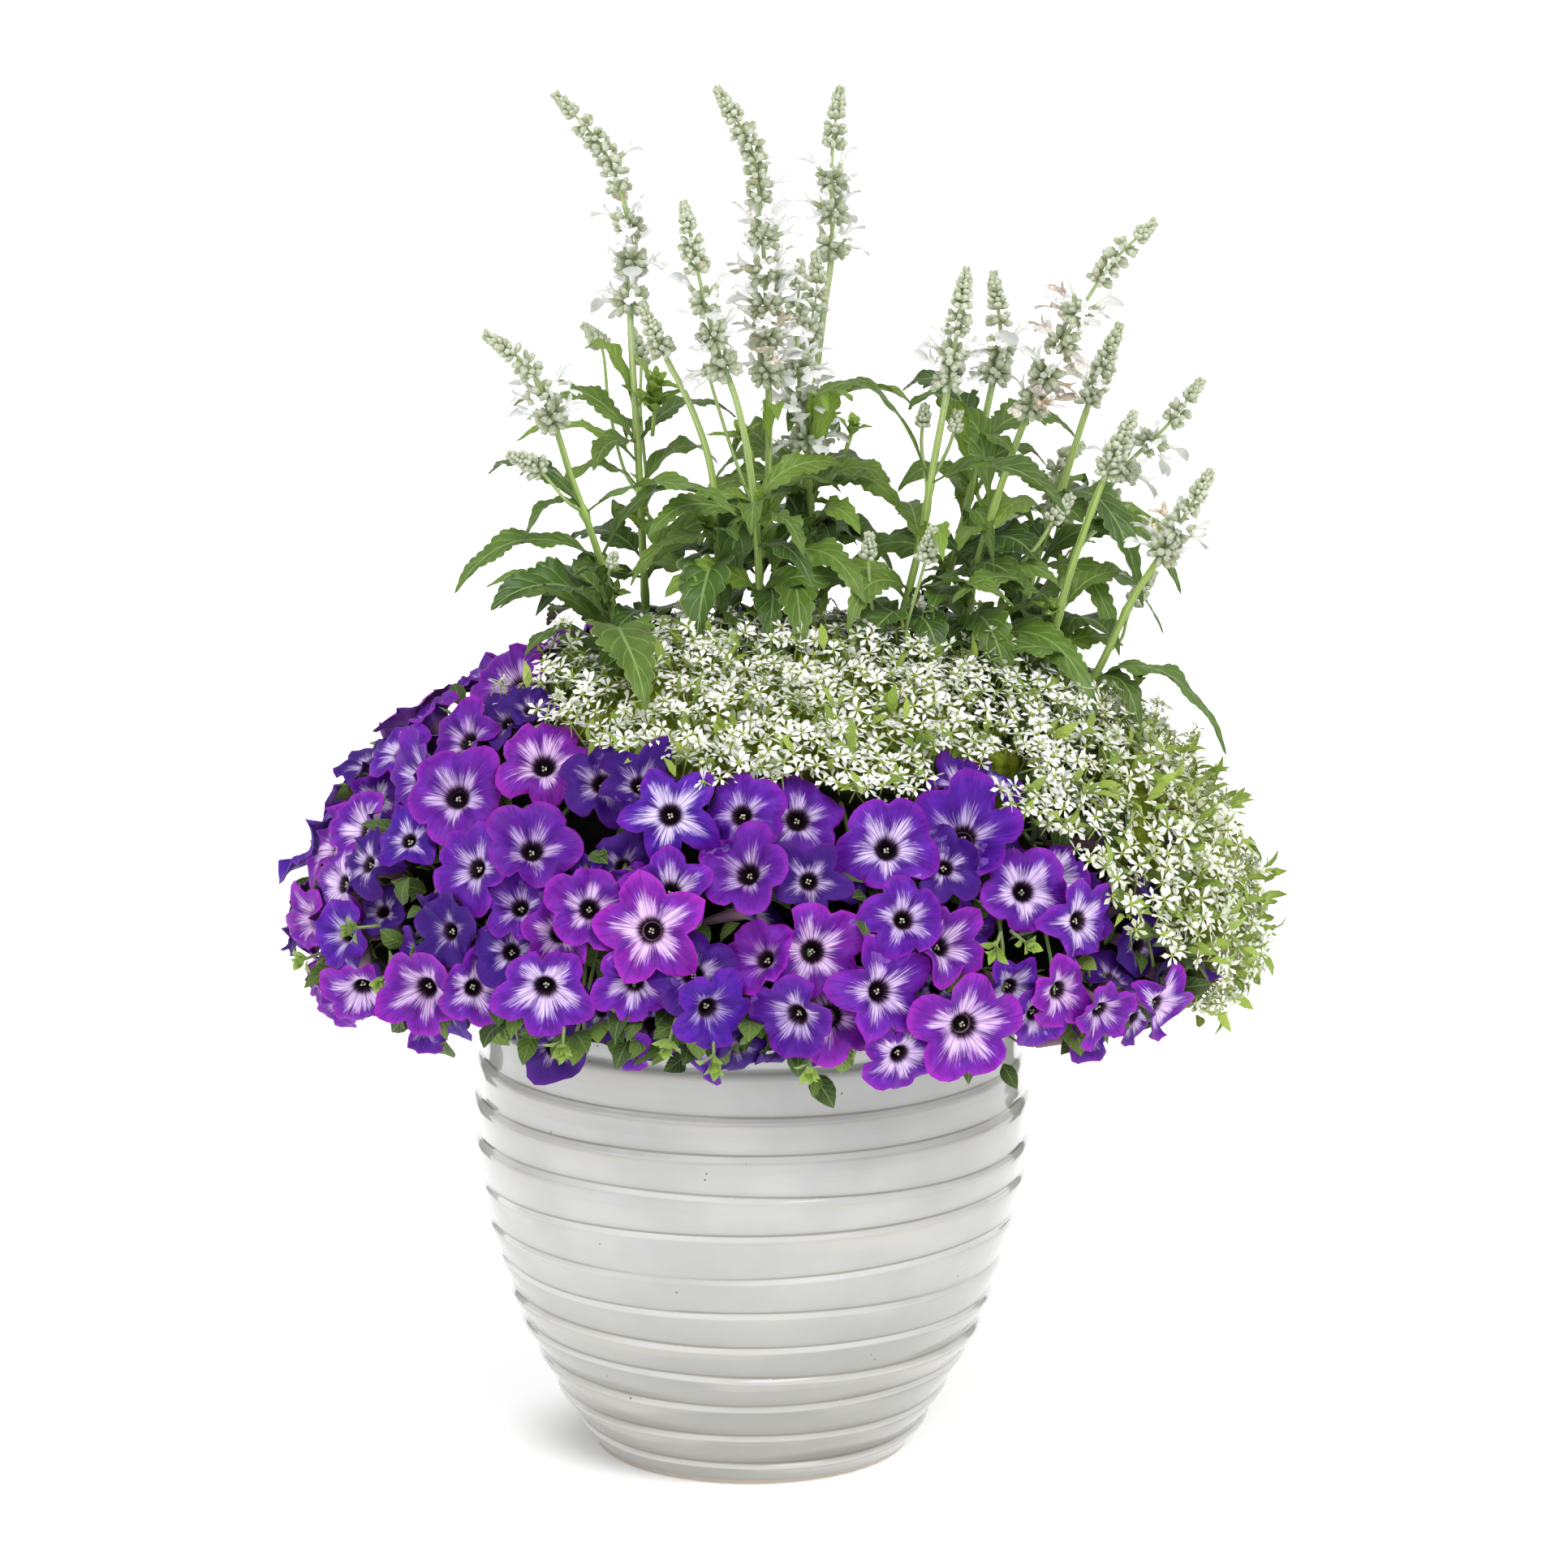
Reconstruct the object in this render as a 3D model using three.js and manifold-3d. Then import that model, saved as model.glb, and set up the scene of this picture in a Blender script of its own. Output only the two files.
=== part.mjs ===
// A glazed pot of mealycup sage, with euphorbia and trailing petunias planted round it.
// Millimetres, +Z up. The origin is the middle of the pot's flat underside, and the front faces -Y.
import * as THREE from 'three';
import { mergeVertices } from 'three/addons/utils/BufferGeometryUtils.js';
import Module from 'manifold-3d';

const wasm = await Module();
wasm.setup();

// Clearance between pieces that touch
const GAP = 0.3;

// Pot
const POT = {
  height: 316,
  footRadius: 101,
  footEdge: 4,
  rimOuter: 168,
  rimInner: 157,
  rimRound: 5,
  ledge: 285,
  wall: 9,
  floor: 14,
  ridgeDepth: 3.2,
  segments: 44,
};
// Each ridge, from its lower crease up: share of its height, and share of the ridge's depth
const RIDGE_SHAPE = [[0, 0], [0.45, 0.2], [0.8, 1]];
const INNER_HEIGHTS = [280, 240, 200, 160, 120, 80, 45];
// Heights of the creases between the thrown ridges, from the foot up
const CREASES = [20, 42, 63, 84, 106, 130, 155, 181, 207, 232, 258, POT.ledge];
// Body radius at some heights, without the ridges
const BODY = [[0, 101], [10, 108], [40, 126], [75, 143], [103, 153], [126, 160], [152, 168],
  [190, 174.5], [222, 175.5], [250, 173], [POT.ledge, 170]];

// Potting mix
const SOIL = { edge: 292, middle: 300, edgeRadius: 155 };

// The mound that the flowers make over the pot
const MOUND = {
  right: 325, back: 250, left: 295, front: 255,
  belt: 335, crown: 205, skirt: 75, skirtFullness: 0.4,
};
const PETUNIA_LAYER = 30;
const EUPHORBIA_LAYER = 14;

// Sage stems: where each leaves the soil, and the points that it grows through up to its tip.
// bloom is the length of the flower spike at its end, and swell the spike's widest radius.
const STEMS = {
  left_tall: { foot: [-48, 30], bloom: 147, swell: 13,
    route: [[-65, 30, 510], [-70, 35, 615], [-75, 40, 710],
      [-75, 50, 760], [-90, 55, 810], [-120, 60, 845]] },
  centre_tall: { foot: [0, 12], bloom: 190, swell: 12,
    route: [[5, 10, 555], [10, 5, 610], [10, 0, 695], [5, 0, 790], [0, -5, 820], [-20, -10, 855]] },
  right_tall: { foot: [25, 50], bloom: 105, swell: 12,
    route: [[30, 60, 550], [35, 70, 620], [45, 80, 710],
      [50, 90, 745], [50, 100, 805], [55, 110, 845]] },
  left_middle: { foot: [6, -20], bloom: 112, swell: 11,
    route: [[3, -22, 590], [-8, -28, 665], [-20, -34, 700], [-30, -40, 740], [-40, -50, 790]] },
  right_middle: { foot: [40, 22], bloom: 118, swell: 12,
    route: [[38, 30, 555], [34, 35, 635], [28, 37, 690], [30, 40, 745]] },
  left_low: { foot: [-72, 2], bloom: 74, swell: 13,
    route: [[-85, -10, 535], [-95, -15, 575], [-110, -20, 620],
      [-120, -30, 655], [-135, -35, 690], [-160, -40, 710]] },
  left_bud: { foot: [-24, 2], bloom: 38, swell: 8,
    route: [[-20, 0, 540], [-25, -10, 625], [-40, -15, 670], [-50, -20, 690], [-65, -30, 725]] },
  right_front: { foot: [66, -6], bloom: 76, swell: 13,
    route: [[90, -10, 515], [105, -15, 585], [110, -20, 620], [120, -30, 680], [130, -40, 750]] },
  right_back: { foot: [84, 36], bloom: 67, swell: 10,
    route: [[120, 40, 535], [135, 45, 595], [150, 50, 670], [155, 55, 690], [150, 60, 735]] },
  right_lean: { foot: [92, 14], bloom: 147, swell: 14,
    route: [[135, 20, 535], [145, 15, 580], [170, 10, 655],
      [190, 0, 700], [220, -5, 750], [245, -10, 775]] },
  right_arch: { foot: [102, 54], bloom: 58, swell: 11,
    route: [[160, 50, 485], [180, 60, 560], [190, 65, 585], [210, 70, 650], [230, 80, 700]] },
  right_short: { foot: [112, 8], bloom: 47, swell: 9,
    route: [[182, 2, 500], [195, 0, 552], [215, 0, 612], [235, 0, 657]] },
  right_far: { foot: [96, 82], bloom: 106, swell: 12,
    route: [[190, 90, 525], [230, 100, 600], [265, 110, 635], [285, 120, 660]] },
  right_low: { foot: [116, -12], bloom: 64, swell: 12,
    route: [[205, -6, 480], [215, -10, 500], [235, -15, 545], [250, -20, 570], [280, -30, 625]] },
};
const STEM = { foot: 3.1, top: 2.0, upright: 14, sides: 8, steps: 11 };

// Sage leaves grow in pairs: the height of the node on its stem, and the tip of each leaf
const LEAF_PAIRS = [
  { stem: 'left_low', height: 568, tips: [[-180, -60, 555], [-20, 55, 590]] },
  { stem: 'left_low', height: 597, tips: [[-8, -62, 603], [-165, 55, 610]] },
  { stem: 'left_low', height: 522, tips: [[-158, -62, 545], [-112, 78, 540]] },
  { stem: 'left_low', height: 512, tips: [[-62, -140, 497], [-130, 75, 510]] },
  { stem: 'right_front', height: 615, tips: [[38, -52, 672], [190, -62, 605]] },
  { stem: 'right_back', height: 628, tips: [[95, 108, 655], [205, 112, 625]] },
  { stem: 'right_arch', height: 590, tips: [[242, 0, 535], [135, 135, 590]] },
  { stem: 'right_short', height: 530, tips: [[240, 36, 545], [122, -52, 548]] },
  { stem: 'right_low', height: 492, tips: [[292, -38, 450], [140, -50, 505]] },
  { stem: 'centre_tall', height: 560, tips: [[70, -58, 548], [-50, 70, 570]] },
  { stem: 'left_tall', height: 632, tips: [[-10, 95, 640], [-150, 75, 650]] },
  { stem: 'right_tall', height: 600, tips: [[90, 145, 575], [-25, 150, 590]] },
  { stem: 'right_far', height: 560, tips: [[275, 130, 520], [150, 175, 540]] },
];
// arch, knee and shoulder shape the blade's bend, as shares of its level reach
const LEAF = {
  width: 32, petiole: 1.7, thickness: 1.3, cup: 2.5, stations: 7,
  arch: 0.22, knee: 0.3, shoulder: 0.75, stalkShare: 0.08, fullness: 0.85,
  collar: 1.8, collarHeight: 5, collarSides: 10,
};

// Foliage that fills the mound, in sectors round the pot. Angles run anticlockwise from +X.
// innerFoot and outerFoot are radii on the soil, innerTop and outerTop radii at the top.
const FOLIAGE = {
  petunia_foliage_left: { from: 131, to: 213, innerFoot: 112, innerTop: 122, layer: PETUNIA_LAYER },
  petunia_foliage_front: { from: 214, to: 283, innerFoot: 137, innerTop: 196, layer: PETUNIA_LAYER },
  petunia_foliage_right: { from: 284, to: 334, innerFoot: 137, innerTop: 200, layer: PETUNIA_LAYER },
  petunia_foliage_back: { from: 66, to: 130, innerFoot: 137, innerTop: 150, layer: PETUNIA_LAYER },
  euphorbia_foliage_front: { from: 214, to: 326, innerFoot: 52, innerTop: 44,
    outerFoot: 136, outerTop: 195, layer: EUPHORBIA_LAYER },
  euphorbia_foliage_right: { from: -25, to: 65, innerFoot: 141, innerTop: 232, layer: EUPHORBIA_LAYER },
};
// Slices of foliage: where they meet the rim, how low they hang (degrees) and how fine they are
const FOLIAGE_SLICE = { rimside: 150, insideRim: 155.8, outsideRim: 169, lowest: -48, steps: 7, turn: 9 };

// The petunias that stand out most: angle round the pot, and rise over the mound's belt, in degrees
const PETUNIAS = {
  petunia_flower_left: { round: 186, rise: 3 },
  petunia_flower_left_upper: { round: 203, rise: 36 },
  petunia_flower_left_front: { round: 226, rise: 12 },
  petunia_flower_front_upper: { round: 279, rise: 24 },
  petunia_flower_front: { round: 254, rise: 6 },
  petunia_flower_front_low: { round: 291, rise: -20 },
  petunia_flower_right: { round: 316, rise: 14 },
  petunia_flower_right_low: { round: 328, rise: -12 },
  petunia_flower_back: { round: 95, rise: 8 },
  petunia_flower_back_left: { round: 145, rise: 22 },
};
// inset is how far the throat lies inside the mound's outer face; face, nod and droop turn it (degrees)
const FLOWER = {
  radius: 27, throat: 6, tube: 2.4, petal: 1.2, cup: 9, segments: 12,
  inset: 8, face: 0.8, nod: 4, droop: -22,
};

const COLOUR = {
  glaze: [0xd8d8d4, 0.16],
  soil: [0x2e2219, 0.95],
  stem: [0x8fa866, 0.6],
  spike: [0xb9c2b4, 0.8],
  leaf: [0x38592b, 0.45],
  petuniaLeaf: [0x4d7a2a, 0.7],
  euphorbia: [0xa9bf7c, 0.7],
  petunia: [0x5a1fa8, 0.5],
};

const model = new THREE.Group();

function add(name, geometry, [color, roughness]) {
  const mesh = new THREE.Mesh(geometry, new THREE.MeshStandardMaterial({ color, roughness, metalness: 0 }));
  mesh.name = name;
  model.add(mesh);
  return mesh;
}

const radians = THREE.MathUtils.degToRad;

// Straight-line value between rows of a table of [place, value]
function read(table, at) {
  let next = table.findIndex(([place]) => place >= at);
  if (next < 0) next = table.length - 1;
  if (next === 0) return table[0][1];
  const [a, b] = [table[next - 1], table[next]];
  return THREE.MathUtils.mapLinear(at, a[0], b[0], a[1], b[1]);
}

// A closed body through rings of equal point counts. capFaces triangulates the two end rings.
function loft(rings, capFaces) {
  const sides = rings[0].length;
  const places = rings.flat().flatMap((p) => [p.x, p.y, p.z]);
  const faces = [];
  for (let i = 0; i + 1 < rings.length; i += 1) {
    for (let j = 0; j < sides; j += 1) {
      const a = i * sides + j;
      const b = i * sides + ((j + 1) % sides);
      faces.push(a, b, b + sides, a, b + sides, a + sides);
    }
  }
  const last = (rings.length - 1) * sides;
  const caps = capFaces ?? rings[0].slice(2).map((_, j) => [0, j + 1, j + 2]);
  for (const [a, b, c] of caps) {
    faces.push(a, c, b, last + a, last + b, last + c);
  }
  const geometry = new THREE.BufferGeometry();
  geometry.setAttribute('position', new THREE.Float32BufferAttribute(places, 3));
  geometry.setIndex(faces);
  return outwards(geometry);
}

// Turns every face over when the body is inside out
function outwards(geometry) {
  const at = geometry.attributes.position;
  const index = geometry.index;
  const [a, b, c] = [new THREE.Vector3(), new THREE.Vector3(), new THREE.Vector3()];
  let volume = 0;
  for (let i = 0; i < index.count; i += 3) {
    a.fromBufferAttribute(at, index.getX(i));
    b.fromBufferAttribute(at, index.getX(i + 1));
    c.fromBufferAttribute(at, index.getX(i + 2));
    volume += a.dot(b.cross(c));
  }
  if (volume < 0) {
    for (let i = 0; i < index.count; i += 3) {
      const second = index.getX(i + 1);
      index.setX(i + 1, index.getX(i + 2));
      index.setX(i + 2, second);
    }
  }
  return geometry;
}

// A closed profile of [radius, height] turned about the Z axis
function turned(profile, segments) {
  const points = profile.map(([r, z]) => new THREE.Vector2(r, z));
  const geometry = new THREE.LatheGeometry(points, segments).rotateX(Math.PI / 2);
  return outwards(plain(geometry));
}

// Keeps only positions, with shared vertices merged
function plain(geometry) {
  geometry.deleteAttribute('normal');
  geometry.deleteAttribute('uv');
  const merged = mergeVertices(geometry, 1e-4);
  const keep = [];
  const index = merged.index;
  for (let i = 0; i < index.count; i += 3) {
    const face = [index.getX(i), index.getX(i + 1), index.getX(i + 2)];
    if (new Set(face).size === 3) keep.push(...face);
  }
  merged.setIndex(keep);
  return merged;
}

function solid(geometry) {
  return new wasm.Manifold(new wasm.Mesh({
    numProp: 3,
    vertProperties: new Float32Array(geometry.attributes.position.array),
    triVerts: new Uint32Array(geometry.index.array),
  }));
}

function joined(geometries) {
  const whole = geometries.map(solid).reduce((sum, next) => sum.add(next));
  const mesh = whole.getMesh();
  const geometry = new THREE.BufferGeometry();
  geometry.setAttribute('position', new THREE.BufferAttribute(mesh.vertProperties, 3));
  geometry.setIndex(new THREE.BufferAttribute(mesh.triVerts, 1));
  return geometry;
}

// A ring of points about a place, square to a direction
function ring(centre, along, radius, sides) {
  const across = new THREE.Vector3(0, 1, 0).cross(along).normalize();
  const up = along.clone().cross(across);
  return Array.from({ length: sides }, (_, j) => {
    const turn = (j / sides) * Math.PI * 2;
    return centre.clone()
      .addScaledVector(across, Math.cos(turn) * radius)
      .addScaledVector(up, Math.sin(turn) * radius);
  });
}

function soilTop(radius) {
  return SOIL.middle - (SOIL.middle - SOIL.edge) * (radius / SOIL.edgeRadius);
}

// Pot: ridges bulge just under each crease and taper down to the next
function potProfile() {
  const { footRadius, footEdge, rimOuter, rimInner, rimRound, height, wall, floor } = POT;
  const outer = [[0, 0], [footRadius - footEdge, 0], [footRadius, footEdge]];
  const tops = CREASES.slice(0, -1);
  for (const [i, low] of tops.entries()) {
    const high = CREASES[i + 1];
    for (const [share, bulge] of RIDGE_SHAPE) {
      const z = THREE.MathUtils.lerp(low, high, share);
      outer.push([read(BODY, z) - POT.ridgeDepth * (1 - bulge), z]);
    }
  }
  outer.push([rimOuter - 2, POT.ledge], [rimOuter, POT.ledge + 4], [rimOuter, height - rimRound]);
  outer.push([rimOuter - rimRound, height], [rimInner + rimRound, height], [rimInner, height - rimRound]);
  return [...outer, ...innerWall(0), [0, floor]];
}

// The inside of the pot from the rim down to the floor, moved in by a clearance
function innerWall(clearance) {
  const wallPoints = INNER_HEIGHTS.map((z) => [read(BODY, z) - POT.ridgeDepth - POT.wall - clearance, z]);
  const corner = read(BODY, POT.floor) - POT.ridgeDepth - POT.wall - clearance;
  return [...wallPoints, [corner, POT.floor + clearance]];
}

function soilProfile() {
  const rows = innerWall(GAP).reverse();
  const edge = POT.rimInner - GAP - 0.4;
  return [[0, POT.floor + GAP], ...rows, [edge, soilTop(edge)], [0, soilTop(0)]];
}

// Stems and spikes share one curve, from the soil to the tip
function stemCurve({ foot, route }) {
  const [x, y] = foot;
  const start = soilTop(Math.hypot(x, y)) + GAP * 1.7;
  const points = [[x, y, start], [x, y, start + STEM.upright], ...route].map((p) => new THREE.Vector3(...p));
  return new THREE.CatmullRomCurve3(points, false, 'centripetal');
}

function stem(curve, end) {
  const rings = [];
  for (let i = 0; i <= STEM.steps; i += 1) {
    const share = (i / STEM.steps) * end;
    const along = i === 0 ? new THREE.Vector3(0, 0, 1) : curve.getTangentAt(share);
    rings.push(ring(curve.getPointAt(share), along, stemRadius(share / end), STEM.sides));
  }
  return loft(rings);
}

function stemRadius(share) {
  return THREE.MathUtils.lerp(STEM.foot, STEM.top, share);
}

// Whorls stand apart low on the spike and close up towards its tip
const SPIKE_OUTLINE = [[0, 0.3], [0.05, 0.9], [0.14, 0.5], [0.23, 1], [0.33, 0.6], [0.43, 0.95],
  [0.53, 0.65], [0.64, 0.75], [0.82, 0.5], [1, 0.12]];

function spike(curve, start, swell) {
  const rings = SPIKE_OUTLINE.map(([share, width]) => {
    const at = THREE.MathUtils.lerp(start, 1, share);
    return ring(curve.getPointAt(at), curve.getTangentAt(at), swell * width, STEM.sides);
  });
  return loft(rings);
}

// One arching blade from a stem to its tip, with a raised midrib
function blade(root, tip) {
  const reach = tip.clone().sub(root);
  const level = new THREE.Vector3(reach.x, reach.y, 0);
  const away = level.clone().normalize();
  const top = root.z + Math.max(reach.z, 0) + level.length() * LEAF.arch;
  const bend = (share) => root.clone().addScaledVector(away, level.length() * share).setZ(top);
  const curve = new THREE.CubicBezierCurve3(root, bend(LEAF.knee), bend(LEAF.shoulder), tip);
  const side = new THREE.Vector3(-away.y, away.x, 0);
  const rings = [];
  for (let i = 0; i <= LEAF.stations; i += 1) {
    const share = i / LEAF.stations;
    const centre = curve.getPoint(share);
    const over = curve.getTangent(share).cross(side).negate().normalize();
    const along = Math.max(0, share - LEAF.stalkShare) / (1 - LEAF.stalkShare);
    const swell = Math.sin(Math.PI * along ** LEAF.fullness);
    const half = (LEAF.petiole + LEAF.width * swell) / 2;
    const thick = LEAF.thickness / 2;
    const cup = swell * LEAF.cup;
    rings.push([
      centre.clone().addScaledVector(side, half).addScaledVector(over, cup),
      centre.clone().addScaledVector(over, thick),
      centre.clone().addScaledVector(side, -half).addScaledVector(over, cup),
      centre.clone().addScaledVector(over, -thick),
    ]);
  }
  return loft(rings);
}

function shareAtHeight(curve, height) {
  let [low, high] = [0, 1];
  for (let i = 0; i < 30; i += 1) {
    const middle = (low + high) / 2;
    if (curve.getPointAt(middle).z < height) low = middle;
    else high = middle;
  }
  return low;
}

// Two leaves joined by the sheath that their stalks make round the stem
function leafPair(curve, end, { height, tips }) {
  const share = shareAtHeight(curve, height);
  const centre = curve.getPointAt(share);
  const along = curve.getTangentAt(share);
  const sides = LEAF.collarSides;
  const inside = (stemRadius(share / end) + GAP * 2) / Math.cos(Math.PI / sides);
  const outside = inside + LEAF.collar;
  const half = LEAF.collarHeight / 2;
  const profile = [[inside, -half], [outside, -half], [outside, half], [inside, half], [inside, -half]];
  const sheath = turned(profile, sides);
  sheath.applyQuaternion(new THREE.Quaternion().setFromUnitVectors(new THREE.Vector3(0, 0, 1), along));
  sheath.translate(centre.x, centre.y, centre.z);
  const blades = tips.map((place) => {
    const tip = new THREE.Vector3(...place);
    const away = tip.clone().sub(centre);
    away.addScaledVector(along, -away.dot(along)).normalize();
    return blade(centre.clone().addScaledVector(away, outside - 0.7), tip);
  });
  return joined([sheath, ...blades]);
}

// Radius of the mound's belt at an angle round the pot
function beltRadius(turn) {
  const [c, s] = [Math.cos(turn), Math.sin(turn)];
  const sideways = c > 0 ? MOUND.right : MOUND.left;
  const endways = s > 0 ? MOUND.back : MOUND.front;
  return sideways * c * c + endways * s * s;
}

// A point on the mound, a layer below its outer face, as [radius, height]
function moundPoint(turn, rise, layer) {
  const up = rise > 0;
  const reach = Math.cos(rise) ** (up ? 1 : MOUND.skirtFullness);
  const tall = up ? MOUND.crown : MOUND.skirt;
  return [(beltRadius(turn) - layer) * reach, MOUND.belt + (tall - layer * (up ? 1 : 0.5)) * Math.sin(rise)];
}

function riseAtRadius(turn, radius, layer) {
  return Math.acos(radius / (beltRadius(turn) - layer));
}

// One upright slice through the foliage, as [radius, height] points
function foliageSlice(turn, { innerFoot, innerTop, outerFoot, outerTop, layer }) {
  const foot = (r) => [r, soilTop(r) + GAP * 1.3];
  const { rimside, insideRim, outsideRim, lowest, steps } = FOLIAGE_SLICE;
  const top = riseAtRadius(turn, innerTop, layer);
  const points = [foot(innerFoot)];
  let low;
  if (outerFoot) {
    points.push(foot(outerFoot));
    low = riseAtRadius(turn, outerTop, layer);
  } else {
    const seat = POT.height + GAP;
    points.push(foot(rimside), [insideRim, seat], [outsideRim, seat]);
    low = radians(lowest);
  }
  for (let i = 0; i <= steps; i += 1) {
    points.push(moundPoint(turn, THREE.MathUtils.lerp(low, top, i / steps), layer));
  }
  return points;
}

function foliage(shape) {
  const steps = Math.ceil((shape.to - shape.from) / FOLIAGE_SLICE.turn);
  let caps;
  const rings = [];
  for (let i = 0; i <= steps; i += 1) {
    const turn = radians(THREE.MathUtils.lerp(shape.from, shape.to, i / steps));
    const slice = foliageSlice(turn, shape);
    caps ??= THREE.ShapeUtils.triangulateShape(slice.map(([r, z]) => new THREE.Vector2(r, z)), []);
    rings.push(slice.map(([r, z]) => new THREE.Vector3(r * Math.cos(turn), r * Math.sin(turn), z)));
  }
  return loft(rings, caps);
}

// A funnel flower that stands on its tube along +Z, its mouth at the given height
function flower(mouth) {
  const { radius, throat, tube, petal, cup, segments } = FLOWER;
  return turned([
    [0, 0], [tube * 0.6, 0], [tube, tube], [tube, mouth * 0.35], [throat, mouth - petal * 3],
    [radius * 0.6, mouth + cup * 0.55], [radius, mouth + cup * 0.6],
    [radius, mouth + cup * 0.6 + petal], [radius * 0.6, mouth + cup * 0.55 + petal],
    [throat * 0.75, mouth - petal * 2], [tube * 0.5, mouth * 0.5], [0, mouth * 0.5],
  ], segments);
}

// The flower's tube runs back from its place on the mound to the foliage that carries it
function placeFlower(name, { round, rise }, beds) {
  const turn = radians(round);
  const [r, z] = moundPoint(turn, radians(rise), FLOWER.inset);
  const mouth = new THREE.Vector3(r * Math.cos(turn), r * Math.sin(turn), z);
  const lift = radians(Math.max(rise * FLOWER.face - FLOWER.nod, FLOWER.droop));
  const out = new THREE.Vector3(
    Math.cos(lift) * Math.cos(turn),
    Math.cos(lift) * Math.sin(turn),
    Math.sin(lift),
  );
  const starts = [mouth.clone(), ...ring(mouth, out, FLOWER.tube, 6)];
  const reaches = starts.map((start) => {
    const ray = new THREE.Raycaster(start, out.clone().negate(), 0, 200);
    return ray.intersectObjects(beds, false)[0].distance;
  });
  const length = Math.min(...reaches) - GAP;
  const geometry = flower(length);
  const mesh = add(name, geometry, COLOUR.petunia);
  mesh.quaternion.setFromUnitVectors(new THREE.Vector3(0, 0, 1), out);
  mesh.position.copy(mouth).addScaledVector(out, -length);
}

add('pot', turned(potProfile(), POT.segments), COLOUR.glaze);
add('potting_mix', turned(soilProfile(), POT.segments), COLOUR.soil);

const beds = [];
for (const [name, shape] of Object.entries(FOLIAGE)) {
  const colour = name.startsWith('petunia') ? COLOUR.petuniaLeaf : COLOUR.euphorbia;
  beds.push(add(name, foliage(shape), colour));
}
model.updateMatrixWorld(true);
for (const [name, place] of Object.entries(PETUNIAS)) placeFlower(name, place, beds);

const curves = {};
for (const [name, shape] of Object.entries(STEMS)) {
  const curve = stemCurve(shape);
  const length = curve.getLength();
  const end = 1 - shape.bloom / length;
  curves[name] = { curve, end };
  add(`sage_stem_${name}`, stem(curve, end), COLOUR.stem);
  add(`sage_spike_${name}`, spike(curve, end + GAP / length, shape.swell), COLOUR.spike);
}
const counts = {};
for (const pair of LEAF_PAIRS) {
  const { curve, end } = curves[pair.stem];
  counts[pair.stem] = (counts[pair.stem] ?? 0) + 1;
  add(`sage_leaves_${pair.stem}_${counts[pair.stem]}`, leafPair(curve, end, pair), COLOUR.leaf);
}

export default model;
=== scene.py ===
"""A glazed pot of mealycup sage with euphorbia and trailing petunias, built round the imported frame."""
import math

import bpy
import numpy as np
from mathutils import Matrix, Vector


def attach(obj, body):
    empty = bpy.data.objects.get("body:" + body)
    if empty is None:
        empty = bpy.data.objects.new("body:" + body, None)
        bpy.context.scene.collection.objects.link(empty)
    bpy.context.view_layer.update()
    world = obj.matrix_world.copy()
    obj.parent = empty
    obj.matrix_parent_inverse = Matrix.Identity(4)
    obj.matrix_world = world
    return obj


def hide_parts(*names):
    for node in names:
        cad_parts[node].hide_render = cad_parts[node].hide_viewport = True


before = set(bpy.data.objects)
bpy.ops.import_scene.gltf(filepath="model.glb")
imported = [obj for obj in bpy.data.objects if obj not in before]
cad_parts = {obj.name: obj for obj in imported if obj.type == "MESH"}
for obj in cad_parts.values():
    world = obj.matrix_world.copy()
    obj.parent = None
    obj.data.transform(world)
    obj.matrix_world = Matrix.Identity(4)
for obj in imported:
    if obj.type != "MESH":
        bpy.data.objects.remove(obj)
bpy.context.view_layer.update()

MM = 0.001
UP = np.array([0.0, 0.0, 1.0])
TURN = 2 * math.pi
# Faces that meet at a sharper turn, as at a leaf's border, aren't smoothed together
SHARP_TURN = math.radians(100)

# The photograph's camera: its focal length in pixels of a 1932-pixel frame, place in mm, and pitch
FRAME_SIDE = 1932
FOCAL = 6700
EYE = np.array([20.0, -3307.0, 1145.0])
PITCH = math.radians(12.3)

# The mound that the flowers make, in mm, as in the CAD source
BELT_RIGHT, BELT_BACK, BELT_LEFT, BELT_FRONT = 325, 250, 295, 255
BELT_HEIGHT, CROWN, SKIRT, SKIRT_FULLNESS = 335, 205, 75, 0.4

SOIL_EDGE, SOIL_MIDDLE, SOIL_RADIUS = 292, 300, 155
STAND_OFF = 0.4      # of the plants over the mix
NO_SPOT = (0, 0, 0)


# Small helpers

def dice(seed):
    return np.random.default_rng(seed)


def named_dice(name, shift=0):
    """Random numbers of a piece's own, from its name."""
    return dice(sum(map(ord, name)) + shift)


def unit(v):
    return v / np.maximum(np.linalg.norm(v, axis=-1, keepdims=True), 1e-9)


def smooth(low, high, x):
    t = np.clip((x - low) / (high - low), 0, 1)
    return t * t * (3 - 2 * t)


def frame_of(ahead, over):
    """Rows: right, ahead and up of a shape that points along ahead, with its face turned to over."""
    y = unit(np.asarray(ahead, float))
    z = np.asarray(over, float)
    z = unit(z - (z * y).sum(-1, keepdims=True) * y)
    return np.stack([np.cross(y, z), y, z], -2)


def facing(out, spin):
    """Rows of a shape whose +Z looks along out, turned by spin about it."""
    z = unit(np.asarray(out, float))
    side = unit(np.cross(UP + [0.01, 0.02, 0], z))
    over = np.cross(z, side)
    x = side * math.cos(spin) + over * math.sin(spin)
    return rigid(x, z)


def ring_index(start, rows, around):
    """Index grid of closed rings, one after another."""
    grid = start + np.arange(rows * around).reshape(rows, around)
    return np.concatenate([grid, grid[:, :1]], 1)


def pole(index, columns):
    return np.full((1, columns), index)


def corners(around):
    """The turns of evenly spaced points round a ring."""
    return np.arange(around) / around * TURN


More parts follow.
